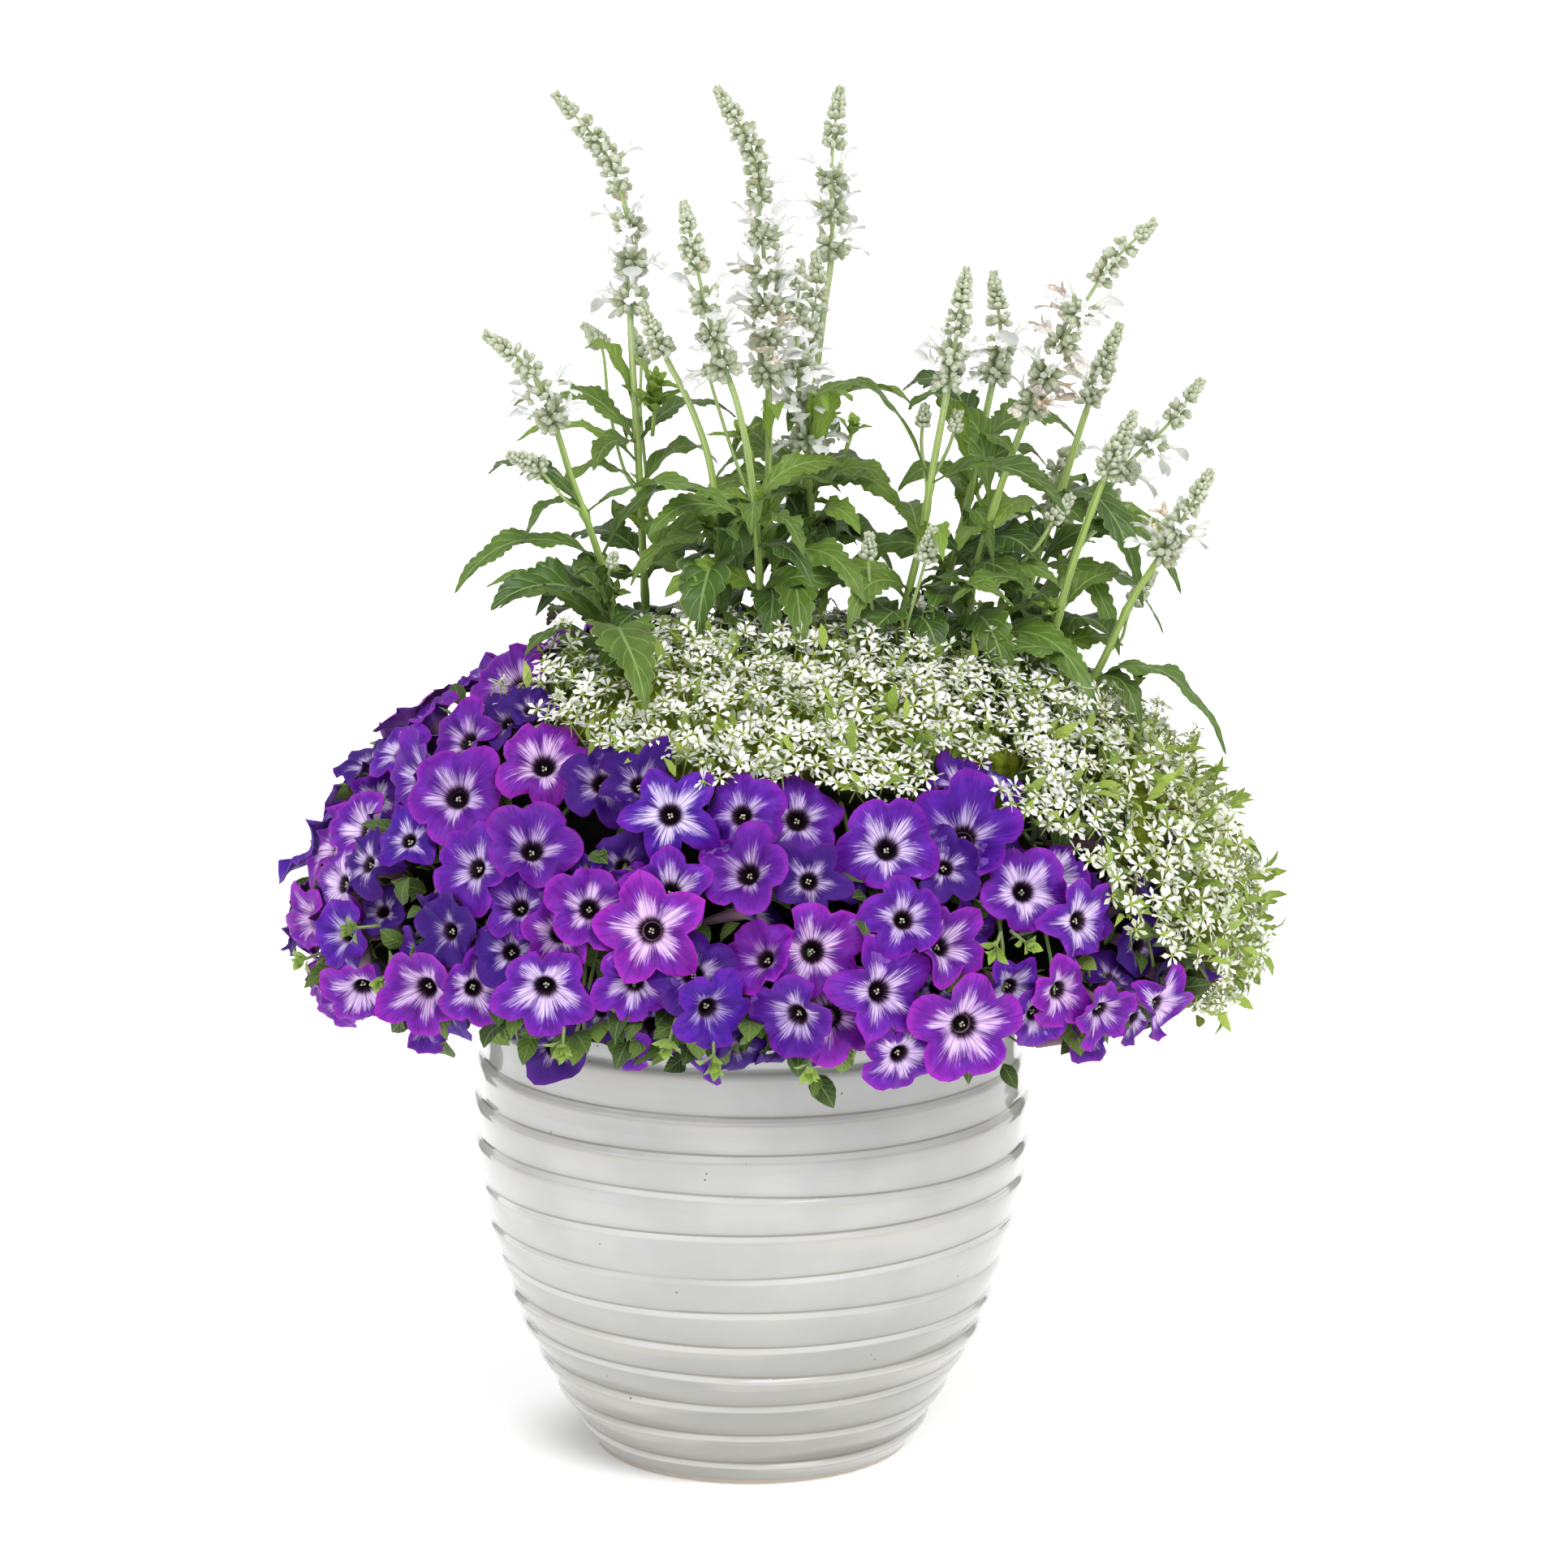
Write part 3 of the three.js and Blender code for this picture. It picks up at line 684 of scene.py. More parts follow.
def shade_body_material(name, dark, middle, strand):
    """The inside of the foliage, as a body whose dark colours are painted shade. tint: how far it lies under
    the petunias.

    Its painted shade is nearly black there.
    """
    s = Shade(name, Roughness=0.85, Specular_IOR_Level=0.1)
    under, _, _ = s.attribute("tint")
    cloud = s.noise(s.position(), 90.0, 4.0)
    strands = s.cells(s.position(), 160.0)
    colour = s.over(dark, middle, cloud, 0.35, 0.7)
    colour = s.over(colour, strand, strands, 0.3, 0.05, 0.5)
    # Painted shade: nearly black where the body lies under the petunias
    colour = s.mix(under, colour, tone(18, 22, 10))
    return s.finish(colour, s.sum(cloud, strands), 0.9, 0.003)


def soil_material():
    s = Shade("potting_mix", Roughness=0.95)
    grains = s.cells(s.position(), 260.0)
    cloud = s.noise(s.position(), 120.0, 5.0, 0.7)
    colour = s.over(tone(34, 24, 17), tone(86, 64, 46), cloud, 0.3, 0.7)
    colour = s.over(colour, tone(110, 86, 64), grains, 0.35, 0.1, 0.5)
    return s.finish(colour, s.sum(cloud, grains), 1.0, 0.004)


def glaze_material():
    """Glaze over thrown ridges, with painted shade in and just above each crease, a painted highlight on the
    shoulder under it, and painted shade towards the foot.

    spot: how far a ridge stands out, the height above the nearest crease in CREASE_REACH, and bare clay.
    tint: how clear the crease is, and the depth below a crease in CREASE_REACH.
    """
    s = Shade("pot_glaze", Coat_Weight=0.7, Coat_Roughness=0.03, Coat_IOR=1.5, IOR=1.35)
    crest, above, bare = s.attribute("spot")
    clear, below, _ = s.attribute("tint")
    here = s.position()
    cloud = s.noise(here, 14.0, 3.0)
    fine = s.noise(here, 150.0, 3.0)
    x, y, z = s.node("SeparateXYZ", {0: here}).outputs[:3]
    bands = s.noise(s.vector(s.times(x, 3.0), s.times(y, 3.0), s.times(z, 160.0)), 1.0, 4.0, 0.6)
    glaze = s.over(tone(182, 183, 181), tone(195, 196, 193), cloud, 0.3, 0.7)
    glaze = s.over(glaze, tone(178, 178, 173), bands, 0.5, 0.75, 0.4)
    # Painted shade: the glaze darkens towards the foot of the pot
    glaze = s.over(glaze, tone(140, 139, 133), z, 0.2, 0.02, 0.85)
    edge = s.sum(crest, s.times(s.sum(bands, -0.5), 0.9), s.times(s.sum(cloud, -0.5), 0.8))
    glaze = s.over(glaze, tone(200, 194, 182), edge, 0.85, 1.15, 0.3)
    low = s.times(s.step(crest, 0.5, 0.3), clear)
    # Painted highlight: a paler strip on the upward-facing shoulder just under each crease
    shoulder = s.times(s.step(below, 0.6, 0.4), s.step(below, 0.06, 0.2), s.step(above, -0.04, -0.12), clear)
    glaze = s.mix(s.times(shoulder, 0.5), glaze, tone(226, 227, 224))
    # Painted shade: a dark warm grey line along each crease
    crease = s.times(s.step(s.math("ABSOLUTE", above), 0.13, 0.03), low, s.sum(0.45, s.times(bands, 0.7)))
    glaze = s.mix(s.math("MINIMUM", crease, 0.85), glaze, tone(134, 126, 112))
    # Painted shade: a soft darker band just above each crease, where the ridge turns under
    soft = s.times(s.step(above, -0.05, 0.02), s.step(above, 0.5, 0.05), low)
    glaze = s.mix(s.times(soft, 0.3), glaze, tone(160, 158, 150))
    pin = s.cells(here, 95.0)
    rare = s.step(s.noise(here, 60.0, 1.0), 0.60, 0.64)
    pinhole = s.times(s.step(pin, 0.085, 0.05), rare)
    glaze = s.mix(s.times(pinhole, 0.85), glaze, tone(92, 76, 62))
    clay = s.mix(fine, tone(168, 156, 140), tone(190, 180, 164))
    colour = s.mix(bare, glaze, clay)
    height = s.sum(s.times(bands, 0.5), s.times(cloud, 0.8), s.times(fine, 0.1), s.times(pinhole, -1.2))
    rough = s.sum(0.11, s.times(fine, 0.05), s.times(bare, 0.6))
    return s.finish(colour, height, 0.3, 0.001, rough)


PETAL = petal_material()
GLAZE = glaze_material()
SOIL_MIX = soil_material()
# Painted shade: bodies that fill the insides of the foliage. The petunias' is dark; the euphorbia's is pale
# green but turns to painted shade under the petunias
SHADE_BODY = shade_body_material("foliage_shade", tone(16, 20, 8), tone(38, 48, 18), tone(70, 80, 34))
PALE_BODY_AND_SHADE = shade_body_material("euphorbia_shade", tone(96, 110, 24), tone(146, 160, 48), tone(182, 192, 78))
SAGE_LEAF = leaf_material("sage_leaf", tone(38, 62, 22), tone(80, 114, 42), tone(158, 190, 66),
                          tone(122, 154, 58), 9, 0.2, tone(166, 190, 112), 0.34, 0.08)
PETUNIA_LEAF = leaf_material("petunia_leaf", tone(36, 56, 14), tone(72, 104, 28), tone(164, 196, 74),
                             tone(104, 134, 52), 6, 0.3, tone(140, 166, 80), 0.5, 0.2)
EUPHORBIA_LEAF = leaf_material("euphorbia_leaf", tone(84, 112, 32), tone(134, 164, 54), tone(186, 206, 92),
                               tone(160, 182, 86), 4, 0.2, tone(172, 194, 100), 0.5)
SAGE_STEM = stem_material("sage_stem", tone(118, 152, 52), tone(176, 200, 98), tone(206, 214, 186))
PETUNIA_STEM = stem_material("petunia_stem", tone(86, 112, 44), tone(140, 160, 84), tone(190, 200, 160))
EUPHORBIA_STEM = stem_material("euphorbia_stem", tone(132, 156, 62), tone(176, 196, 98), tone(150, 80, 60))
CALYX = calyx_material()
FLORET = floret_material()
BRACT = bract_material()
BRACT_EYE = plain_green("euphorbia_eye", tone(150, 168, 40), tone(206, 214, 84), 0.5, 900.0)
ANTHER = plain_green("petunia_anther", tone(150, 150, 110), tone(226, 226, 200), 0.6, 900.0)


# Pot and potting mix

CREASES = [0, 20, 42, 63, 84, 106, 130, 155, 181, 207, 232, 258, 285]
BODY_HEIGHTS = [0, 10, 40, 75, 103, 126, 152, 190, 222, 250, 285, 300]
BODY_RADII = [101, 108, 126, 143, 153, 160, 168, 174.5, 175.5, 173, 170, 168]
RIDGE_DEPTH, FOOT_DEPTH = 2.5, 1.7      # of the ridges at the belly, and how much more near the narrow foot
RIDGE_STEP = 1.7
CREASE_REACH = 8
POT_AROUND, SOIL_AROUND = 168, 54
CHIPS = 160      # of bark on the mix


def ridge(z, turn, phases, fades):
    """The ridges at heights and turns, where fades says where round the pot each crease fades.

    Gives how far they stand out, 0 to 1, the height above the nearest crease, the depth below the crease
    over it, and how clear the crease is.
    """
    out = np.zeros((len(z), len(turn)))
    above, below, clear = np.zeros_like(out), np.zeros_like(out), np.zeros_like(out)
    for column, angle in enumerate(turn):
        edges = np.array(CREASES, float)
        wobble = (1.9 * np.sin(angle + phases[:, 0]) + 1.2 * np.sin(2 * angle + phases[:, 1])
                  + 0.8 * np.sin(3 * angle + phases[:, 2]))
        edges[1:-1] += wobble[1:-1]
        fade = 1 - 0.85 * np.exp(-(((angle - fades + math.pi) % TURN - math.pi) / 0.34) ** 2)
        phase = np.interp(z, edges, np.arange(len(edges)))
        band = np.minimum(phase.astype(int), len(edges) - 2)
        v = 1 - (phase - band)
        swell = 1 + 0.22 * np.sin(angle * 2 + phases[band, 2]) + 0.16 * np.sin(angle * 5 + phases[band, 0])
        shape = smooth(-0.02, 0.19, v) * (1 - 0.9 * smooth(0.16, 1.02, v))
        out[:, column] = shape * swell * fade[band] + 0.4 * (1 - fade[band])
        gap = z[:, None] - edges[None, 1:-1]
        nearest = np.abs(gap).argmin(1)
        above[:, column] = gap[np.arange(len(z)), nearest]
        below[:, column] = edges[band + 1] - z
        clear[:, column] = fade[nearest]
    return out, above, below, clear


def make_pot():
    rand = dice(11)
    phases = rand.uniform(0, TURN, (len(CREASES), 3))
    turn = corners(POT_AROUND)
    z = np.arange(2.4, 284.2, RIDGE_STEP)
    out, above, below, clear = ridge(z, turn, phases, rand.uniform(0, TURN, len(CREASES)))
    heights = np.arange(-20, 321.0)
    body = np.interp(heights, BODY_HEIGHTS, BODY_RADII)
    for _ in range(3):
        body = np.convolve(np.pad(body, 6, mode="edge"), np.ones(13) / 13, "valid")
    depth = (RIDGE_DEPTH + FOOT_DEPTH * smooth(170, 60, z))[:, None]
    radius = np.interp(z, heights, body)[:, None] + depth * (out - 1)
    radius += 0.5 * np.sin(2 * turn + 0.8)[None] * np.sin(z / 70)[:, None]
    foot = [(60, 2.6), (88, 2.6), (91, 0.2), (92.5, 0), (97, 0), (99.5, 0.8)]
    rim = [(165.6, 285), (166.6, 286.2), (168, 288.5), (168, 296), (168.1, 304), (168, 310), (167.3, 313),
           (165.6, 315.1), (163, 316), (161.2, 315.8), (159, 314.8), (157.5, 312.6), (157, 309)]
    inside = [(155, 292), (158, 270), (161, 230), (160, 190), (152, 140), (138, 90), (118, 45), (98, 17),
              (60, 14), (20, 14)]
    wave = 0.5 * np.sin(3 * turn + 1) + 0.3 * np.sin(7 * turn)
    rows, spots, tints = [], [], []

    def add_rows(profile, crest, bare, ripple=0.0):
        for r, h in profile:
            rows.append(circle(r + ripple * wave, turn, h))
            spots.append(np.tile([crest, 1.0, bare], (len(turn), 1)))
            tints.append(np.zeros((len(turn), 3)))
    add_rows(foot, 0, 1)
    for i, h in enumerate(z):
        rows.append(circle(radius[i], turn, h))
        spots.append(np.stack([out[i], np.clip(above[i] / CREASE_REACH, -1, 1),
                               np.full(len(turn), smooth(4.5, 2.4, h) if h < 4.5 else 0.0)], 1))
        tints.append(np.stack([clear[i], np.clip(below[i] / CREASE_REACH, 0, 1), np.zeros(len(turn))], 1))
    add_rows(rim, 0.5, 0, 0.6)
    add_rows(inside, 0.3, 0)
    points, grid = loft(np.array(rows), np.array([0, 0, 2.6]), np.array([0, 0, 14]))
    spots = np.concatenate([np.array(spots).reshape(-1, 3), [[0, 0, 1]], [[0.3, 0, 0]]])
    heap = Heap()
    heap.add(points, [grid], spots, np.concatenate([np.array(tints).reshape(-1, 3), np.zeros((2, 3))]))
    return place(heap, "glazed_pot", "glaze", [GLAZE], "pot")


def soil_face(r):
    """The height of the mix at a distance from the middle."""
    return SOIL_MIDDLE - (SOIL_MIDDLE - SOIL_EDGE) * r / SOIL_RADIUS


def make_soil():
    rand = dice(12)
    turn = corners(SOIL_AROUND)
    rows = [(60, 14.6), (97, 14.8), (118, 46), (137.5, 91), (151.5, 141), (159.5, 191), (160.5, 230),
            (157.6, 270), (155.2, 288), (155, 291)]
    rings = [circle(r, turn, h) for r, h in rows]
    for r in np.linspace(152, 4, 26):
        bumps = rand.normal(0, 1.1, len(turn)) - 0.8
        rings.append(circle(r, turn, soil_face(r) + np.minimum(bumps, 0.9)))
    points, grid = loft(np.array(rings), np.array([0, 0, 14.6]), np.array([0, 0, SOIL_MIDDLE]))
    heap = Heap()
    heap.add(points, [grid], NO_SPOT)
    for _ in range(CHIPS):
        r, a = 150 * math.sqrt(rand.random()), rand.uniform(0, TURN)
        size = rand.uniform(1.2, 3.6)
        chip = rand.normal(0, 0.25, (2, 5, 3)) * size
        corner = corners(5)
        chip[..., 0] += np.cos(corner) * size
        chip[..., 1] += np.sin(corner) * size * 0.7
        chip[0, :, 2] -= size * 0.3
        chip[1, :, 2] += size * 0.3
        points, grid = loft(chip @ facing(unit(rand.normal(0, 1, 3) + UP * 2), rand.uniform(0, TURN))
                            + [r * math.cos(a), r * math.sin(a), soil_face(r) - 0.2])
        heap.add(points, [grid], NO_SPOT)
    return place(heap, "potting_mix_surface", "potting_mix", [SOIL_MIX], "potting_mix")


# Petunias

# Petunias that the photograph shows, by colour: pixel of the throat, width in pixels, and where
# the face leans as seen in the picture (right and up, 0 for flowers that face as the mound does)
FLOWERS_SEEN = {
    "violet": [(559, 974, 112, 0.1, 0.1), (825, 1093, 100, 0.1, 0.3), (656, 1040, 104, 0.1, 0.1),
               (1094, 1040, 108, 0, 0.2), (514, 1114, 110, 0.1, 0), (986, 1000, 108, 0.1, 0.2),
               (910, 1001, 98, -0.2, 0.1), (915, 1069, 104, -0.3, 0.2), (1189, 1019, 115, 0, 0.3),
               (1115, 1131, 92, 0.2, 0.1), (581, 1068, 95, -0.5, 0.1), (633, 1110, 84, -0.2, 0.4),
               (760, 1249, 85, 0.2, -0.4), (1089, 1222, 108, 0.4, 0.2), (975, 1256, 100, -0.5, -0.3),
               (1267, 1094, 98, 0.3, 0.1), (1360, 1165, 95, 0.3, 0), (739, 1203, 90, 0, 0)],
    "magenta": [(626, 834, 98, -0.5, 0.5), (564, 903, 92, -0.5, 0.5), (670, 933, 108, 0.1, 0.2),
                (374, 1133, 86, -0.9, 0), (729, 1117, 98, 0.2, 0.1), (801, 1146, 118, 0, 0.1),
                (519, 1222, 100, -0.1, -0.4), (1004, 1172, 108, 0, 0.2), (1192, 1268, 118, 0.1, -0.1),
                (1025, 1248, 108, 0.1, 0.1), (684, 1145, 92, -0.1, 0.3), (1173, 1155, 94, 0.5, 0.4),
                (925, 1169, 88, -0.4, 0.6), (1308, 1222, 84, 0.6, -0.3), (385, 1246, 66, -0.9, -0.6)],
    "lilac": [(409, 1086, 88, -0.7, 0), (671, 1219, 104, 0.1, -0.5), (588, 1222, 84, 0.4, -0.2),
              (1045, 1124, 98, 0.2, 0.3), (1130, 1252, 88, 0.4, -0.1), (447, 1222, 90, 0.4, -0.8),
              (430, 1012, 88, -0.7, 0.5), (1439, 1215, 80, 0.8, -0.2), (1360, 1250, 78, 0.4, -0.7)],
    "dark": [(741, 958, 98, 0.1, 0.1), (791, 962, 92, 0.2, 0.2), (856, 1202, 98, 0.1, 0.1),
             (625, 1170, 84, -0.1, 0.1), (447, 1062, 82, -0.6, 0.3), (984, 1069, 84, 0, 0),
             (1166, 1065, 84, 0, 0), (574, 1150, 76, 0, 0), (1298, 1160, 84, 0.3, -0.1),
             (616, 878, 74, -0.3, 0.2), (1473, 1222, 66, 0.9, 0), (655, 868, 70, 0.2, 0.5)],
    "blue": [(486, 918, 84, -0.5, 0.7), (500, 1032, 74, 0, 0.3), (416, 1150, 80, -0.5, 0.2),
             (1236, 948, 62, 0.3, 0.9), (1180, 946, 66, -0.3, 0.9), (1284, 1256, 74, 0.2, -0.6),
             (1408, 1262, 74, 0.7, -0.5), (874, 1243, 92, 0.5, -0.4)],
    "star": [(825, 1001, 106, 0, 0.1), (1301, 1067, 92, 0.3, 0.4), (1256, 1222, 76, 0.4, -0.4)],
}
# hue from violet to magenta, how far the pale star reaches, and how dark the flower is
FLOWER_TINTS = {"violet": (0.3, 0.62, 0.2), "magenta": (0.85, 0.7, 0.12), "lilac": (0.55, 0.95, 0.0),
                "dark": (0.12, 0.3, 0.85), "blue": (0.05, 0.6, 0.15), "star": (0.12, 1.15, 0.1)}
# The flowers that the frame holds: angle round the pot and rise over the belt, in degrees
FRAMED_FLOWERS = {
    "petunia_flower_left": (186, 3), "petunia_flower_left_upper": (203, 36),
    "petunia_flower_left_front": (226, 12), "petunia_flower_front_upper": (279, 24),
    "petunia_flower_front": (254, 6), "petunia_flower_front_low": (291, -20),
    "petunia_flower_right": (316, 14), "petunia_flower_right_low": (328, -12),
    "petunia_flower_back": (95, 8), "petunia_flower_back_left": (145, 22),
}
HIDDEN_KINDS = ["violet"] * 3 + ["magenta"] * 2 + ["lilac", "dark", "blue", "star"]
INNER_KINDS = ["dark", "dark", "violet", "blue"]
# The pieces that hold the other flowers: the turns of each side of the pot, in degrees
PETUNIA_SIDES = {"petunias_left": (150, 214), "petunias_front_left": (214, 262),
                 "petunias_front_right": (262, 300), "petunias_right": (300, 420),
                 "petunias_back": (60, 105), "petunias_back_left": (105, 150)}
PIXEL_RADIUS = 0.284      # mm of a flower's radius for each pixel of its width in the photograph
FLOWER_DEPTH, INNER_DEPTH = 8, 24      # of the mouths under the mound's face
LOBES = 5
FLOWER_AROUND, COARSE_AROUND = 40, 25
LIMB = np.array([0.2, 0.26, 0.34, 0.44, 0.56, 0.68, 0.79, 0.89, 0.955, 1.0])
COARSE_LIMB = LIMB[[0, 2, 4, 6, 8, 9]]
TUBE_INSIDE = np.array([[0.05, -9, 1.8], [0.1, -7, 2.9], [0.155, -4.5, 4.0]])     # spot, height, radius
TUBE_OUTSIDE = np.array([[0.19, -3.5, 5.2], [0.16, -10, 4.5], [0.12, -18, 3.5], [0.09, -27, 2.6],
                         [0.05, -34, 1.9]])
FLOWER_REACH = 36
PETAL_THICK, PETAL_GAP, THROAT_DEPTH = 0.65, 1.5, 11
LOWEST_BLOOM = 960      # pixel height where the petunias begin under the euphorbia


def limb(rand, radius, pointed, around, reach):
    """The open face of a petunia: rows from throat to edge of points round it, and the funnel's depth."""
    a = corners(around)
    q = ((reach - LIMB[0]) / (1 - LIMB[0]))[:, None]
    lobe = np.abs(np.cos(LOBES / 2 * a))
    away = (a[:, None] - np.arange(LOBES)[None] * TURN / LOBES + math.pi) % TURN - math.pi
    own = np.abs(away).argmin(1)
    lean = away[np.arange(around), own] / (math.pi / LOBES)
    edge = 1 - rand.uniform(0.2, 0.32) * (1 - lobe ** 0.62)
    if pointed:
        edge = 1 - rand.uniform(0.3, 0.4) * (1 - lobe ** 0.95) + 0.08 * lobe ** 14
    lifts, sizes, slopes = (rand.normal(0, spread, LOBES) for spread in (0.75, 0.07, 0.11))
    lift = lifts[own] * (1 - lean ** 2)
    edge = edge * (1 + sizes[own] * (1 - lean ** 2))
    r = radius * reach[:, None] * (1 - (1 - edge)[None] * q ** 1.3)
    dip = radius * rand.uniform(0.24, 0.46)
    x, y = r * np.cos(a), r * np.sin(a)
    z = -dip * (1 - q) ** rand.uniform(1.7, 2.4) + 0.2 * radius * lift * q ** 1.7
    z = z + radius * (0.05 + slopes[own]) * lean * np.abs(lean) * q ** 2.4
    z = z - rand.uniform(-0.7, 1.3) * 0.2 * radius * q ** 3 * (0.5 + 0.5 * lobe)
    beta, fold = rand.uniform(0, TURN), rand.uniform(0, 0.55)
    z = z - fold * (x * math.cos(beta) + y * math.sin(beta)) ** 2 / radius
    ripple = (np.sin(rand.integers(6, 9) * a + rand.uniform(0, TURN))
              + 0.8 * np.sin(rand.integers(11, 15) * a + rand.uniform(0, TURN)))
    z = z + rand.uniform(0.8, 1.9) * ripple * q ** 2.2
    z = z - 1.1 * np.cos(LOBES * a) * np.sin(math.pi * q) + 0.9 * q * (1 - lobe ** 2)
    return np.stack([x, y, z], -1), dip


class Petunia:
    """One petunia. Its mouth is at a point and looks along out. Its tube runs back from there."""

    def __init__(self, mouth, out, radius, tint, pointed, fine=True):
        self.mouth, self.out, self.radius = mouth, unit(np.asarray(out, float)), radius
        self.tint, self.pointed, self.fine = tint, pointed, fine

    def open(self, rand):
        """Makes the open face, as points in the world."""
        self.reach = LIMB if self.fine else COARSE_LIMB
        around = FLOWER_AROUND if self.fine else COARSE_AROUND
        face, self.dip = limb(rand, self.radius, self.pointed, around, self.reach)
        self.turned = facing(self.out, rand.uniform(0, TURN))
        self.face = face @ self.turned + self.mouth

    def local(self, points):
        return (points - self.mouth) @ self.turned.T

    def world(self, points):
        return points @ self.turned + self.mouth

    def press(self, lower):
        """Bends the lower flower's face where it would come through this one."""
        face = self.local(self.face)
        points = self.local(lower.face.reshape(-1, 3))
        level = np.hypot(points[:, 0], points[:, 1])
        turns = np.arctan2(points[:, 1], points[:, 0]) / TURN
        column = np.round(turns * face.shape[1]).astype(int) % face.shape[1]
        radii = np.hypot(face[..., 0], face[..., 1])[:, column]
        heights = face[:, column, 2]
        near = (level < 1.3 * radii[-1]) & (points[:, 2] > -self.dip - 16) & (points[:, 2] < 24)
        for k in np.nonzero(near)[0]:
            throat = 1 - smooth(1.2, 2.2, level[k] / radii[0, k])
            above = np.interp(level[k], radii[:, k], heights[:, k]) - PETAL_GAP - THROAT_DEPTH * throat
            share = 1 - smooth(1.0, 1.3, level[k] / radii[-1, k])
            points[k, 2] -= share * max(points[k, 2] - above, 0)
        lower.face = self.world(points).reshape(lower.face.shape)

    def build(self, heap, rand):
        front = self.local(self.face)
        around = front.shape[1]
        a = corners(around)
        sunk = front[0].mean(0) + [0, 0, self.dip]
        inner, outer = (circle(table[:, 2:], a, table[:, 1:2] - self.dip)
                        for table in (TUBE_INSIDE, TUBE_OUTSIDE))
        inner[..., :2] *= self.radius / 26
        inner += sunk
        outer += sunk * np.array([1, 0.8, 0.5, 0.2, 0])[:, None, None]
        round_it = np.roll(front, -1, 1) - np.roll(front, 1, 1)
        normal = unit(np.cross(np.gradient(front, axis=0), round_it))
        normal *= np.sign(normal[..., 2:].mean())
        back_rows = slice(-2, 0, -2) if self.fine else slice(-2, 0, -1)
        behind = (front - PETAL_THICK * normal)[back_rows]
        rows = np.concatenate([inner, front, behind, outer])
        spot_of = np.concatenate([TUBE_INSIDE[:, 0], self.reach, self.reach[back_rows], TUBE_OUTSIDE[:, 0]])
        side = np.concatenate([np.ones(len(inner) + len(front)), -np.ones(len(behind) + len(outer))])
        base = np.array([0, 0, -self.dip - FLOWER_REACH])
        points, grid = loft(rows, inner[0].mean(0), base)
        spots = np.stack([spot_of[:, None] * np.cos(a), spot_of[:, None] * np.sin(a),
                          np.broadcast_to(side[:, None], (len(rows), around))], -1).reshape(-1, 3)
        spots = np.concatenate([spots, [[0, 0, 1], [0, 0, -1]]])
        heap.add(self.world(points), [grid], spots, self.tint, 0)
        for k in range(4 if self.fine else 0):
            corner = k * TURN / 4 + 0.6
            centre = sunk + [1.2 * math.cos(corner), 1.2 * math.sin(corner), -self.dip - 1.5 - 1.1 * (k % 2)]
            rings = np.array([circle(0.75, corners(5), height) for height in (0, 0.8)])
            bead, grid = loft(rings, np.array([0, 0, -0.7]), np.array([0, 0, 1.4]))
            heap.add(self.world(bead + centre), [grid], NO_SPOT, (rand.random(), 0, 0), 2)
        for k in range(5 if self.fine else 0):
            corner = k * TURN / 5 + rand.uniform(-0.15, 0.15)
            rise = np.array([0, 5, 10, 14.5])
            flare = np.array([1.4, 3.4, 4.2 + rand.uniform(0, 1), 6 + rand.uniform(0, 3.5)])
            spine = np.stack([flare * math.cos(corner), flare * math.sin(corner), base[2] + rise], 1)
            sepal, grids, spots = tube(spine, [0.9, 1.3, 1.1, 0.4], 4)
            heap.add(self.world(sepal), grids, spots, (0, rand.random(), 0), 1)
        foot = self.world(base)
        inward = unit(np.array([0.5 * foot[0], 0.5 * foot[1], max(foot[2] + 12, 350)]) - foot)
        stalk = foot - self.out * np.array([0, 4, 7, 8])[:, None] + inward * np.array([0, 2, 9, 22])[:, None]
        heap.add_tube(stalk, [1.1, 0.9, 0.9, 0.9], 5, (0.2, rand.random(), 0), 1)


def outward(out, normal):
    """Turns the way a flower looks toward the mound's normal, until its tube runs into the mound."""
    while out @ normal < 0.5:
        out = unit(out + 0.1 * normal)
    return out


def jittered(rand, tint):
    hue, star, dark = tint
    return share_of(rand, hue, 0.14), share_of(rand, star, 0.2, 0.05, 1.3), share_of(rand, dark, 0.12)


def seen_flowers():
    """Every flower of FLOWERS_SEEN."""
    rand = dice(21)
    found = []
    for kind, rows in FLOWERS_SEEN.items():
        for x, y, size, right, up in rows:
            turn, rise = at_pixel(x, y, FLOWER_DEPTH)
            mouth = dome(turn, rise, FLOWER_DEPTH)
            to_eye = unit(EYE - mouth)
            level = unit(np.cross(UP, to_eye))
            over = np.cross(to_eye, level)
            out = unit(dome_normal(turn, rise) * 0.65 + to_eye * 0.6 + level * right * 1.3 + over * up * 0.8
                       + rand.normal(0, 0.1, 3))
            out = outward(out, dome_normal(turn, rise))
            found.append(Petunia(mouth, out, size * PIXEL_RADIUS, jittered(rand, FLOWER_TINTS[kind]),
                                 kind == "star" or rand.random() < 0.25))
    return found


def hidden_flowers(taken):
    """Flowers for the parts of the mound that the photograph doesn't show."""
    rand = dice(22)

    def spread(r):
        turn = math.radians(r.uniform(60, 200))
        rise = math.asin(r.uniform(-0.5, 0.93))
        if math.hypot(*dome(turn, rise)[:2]) < 140 or rise < math.radians(-27):
            return None, None
        return turn, rise
    found = []
    for turn, rise in scattered(rand, 2600, 42, spread, taken):
        mouth = dome(turn, rise, FLOWER_DEPTH)
        out = unit(dome_normal(turn, rise) + UP * 0.1 + rand.normal(0, 0.2, 3))
        kind = rand.choice(HIDDEN_KINDS)
        found.append(Petunia(mouth, out, rand.uniform(23, 30), jittered(rand, FLOWER_TINTS[kind]),
                             kind == "star" or rand.random() < 0.25))
    return found


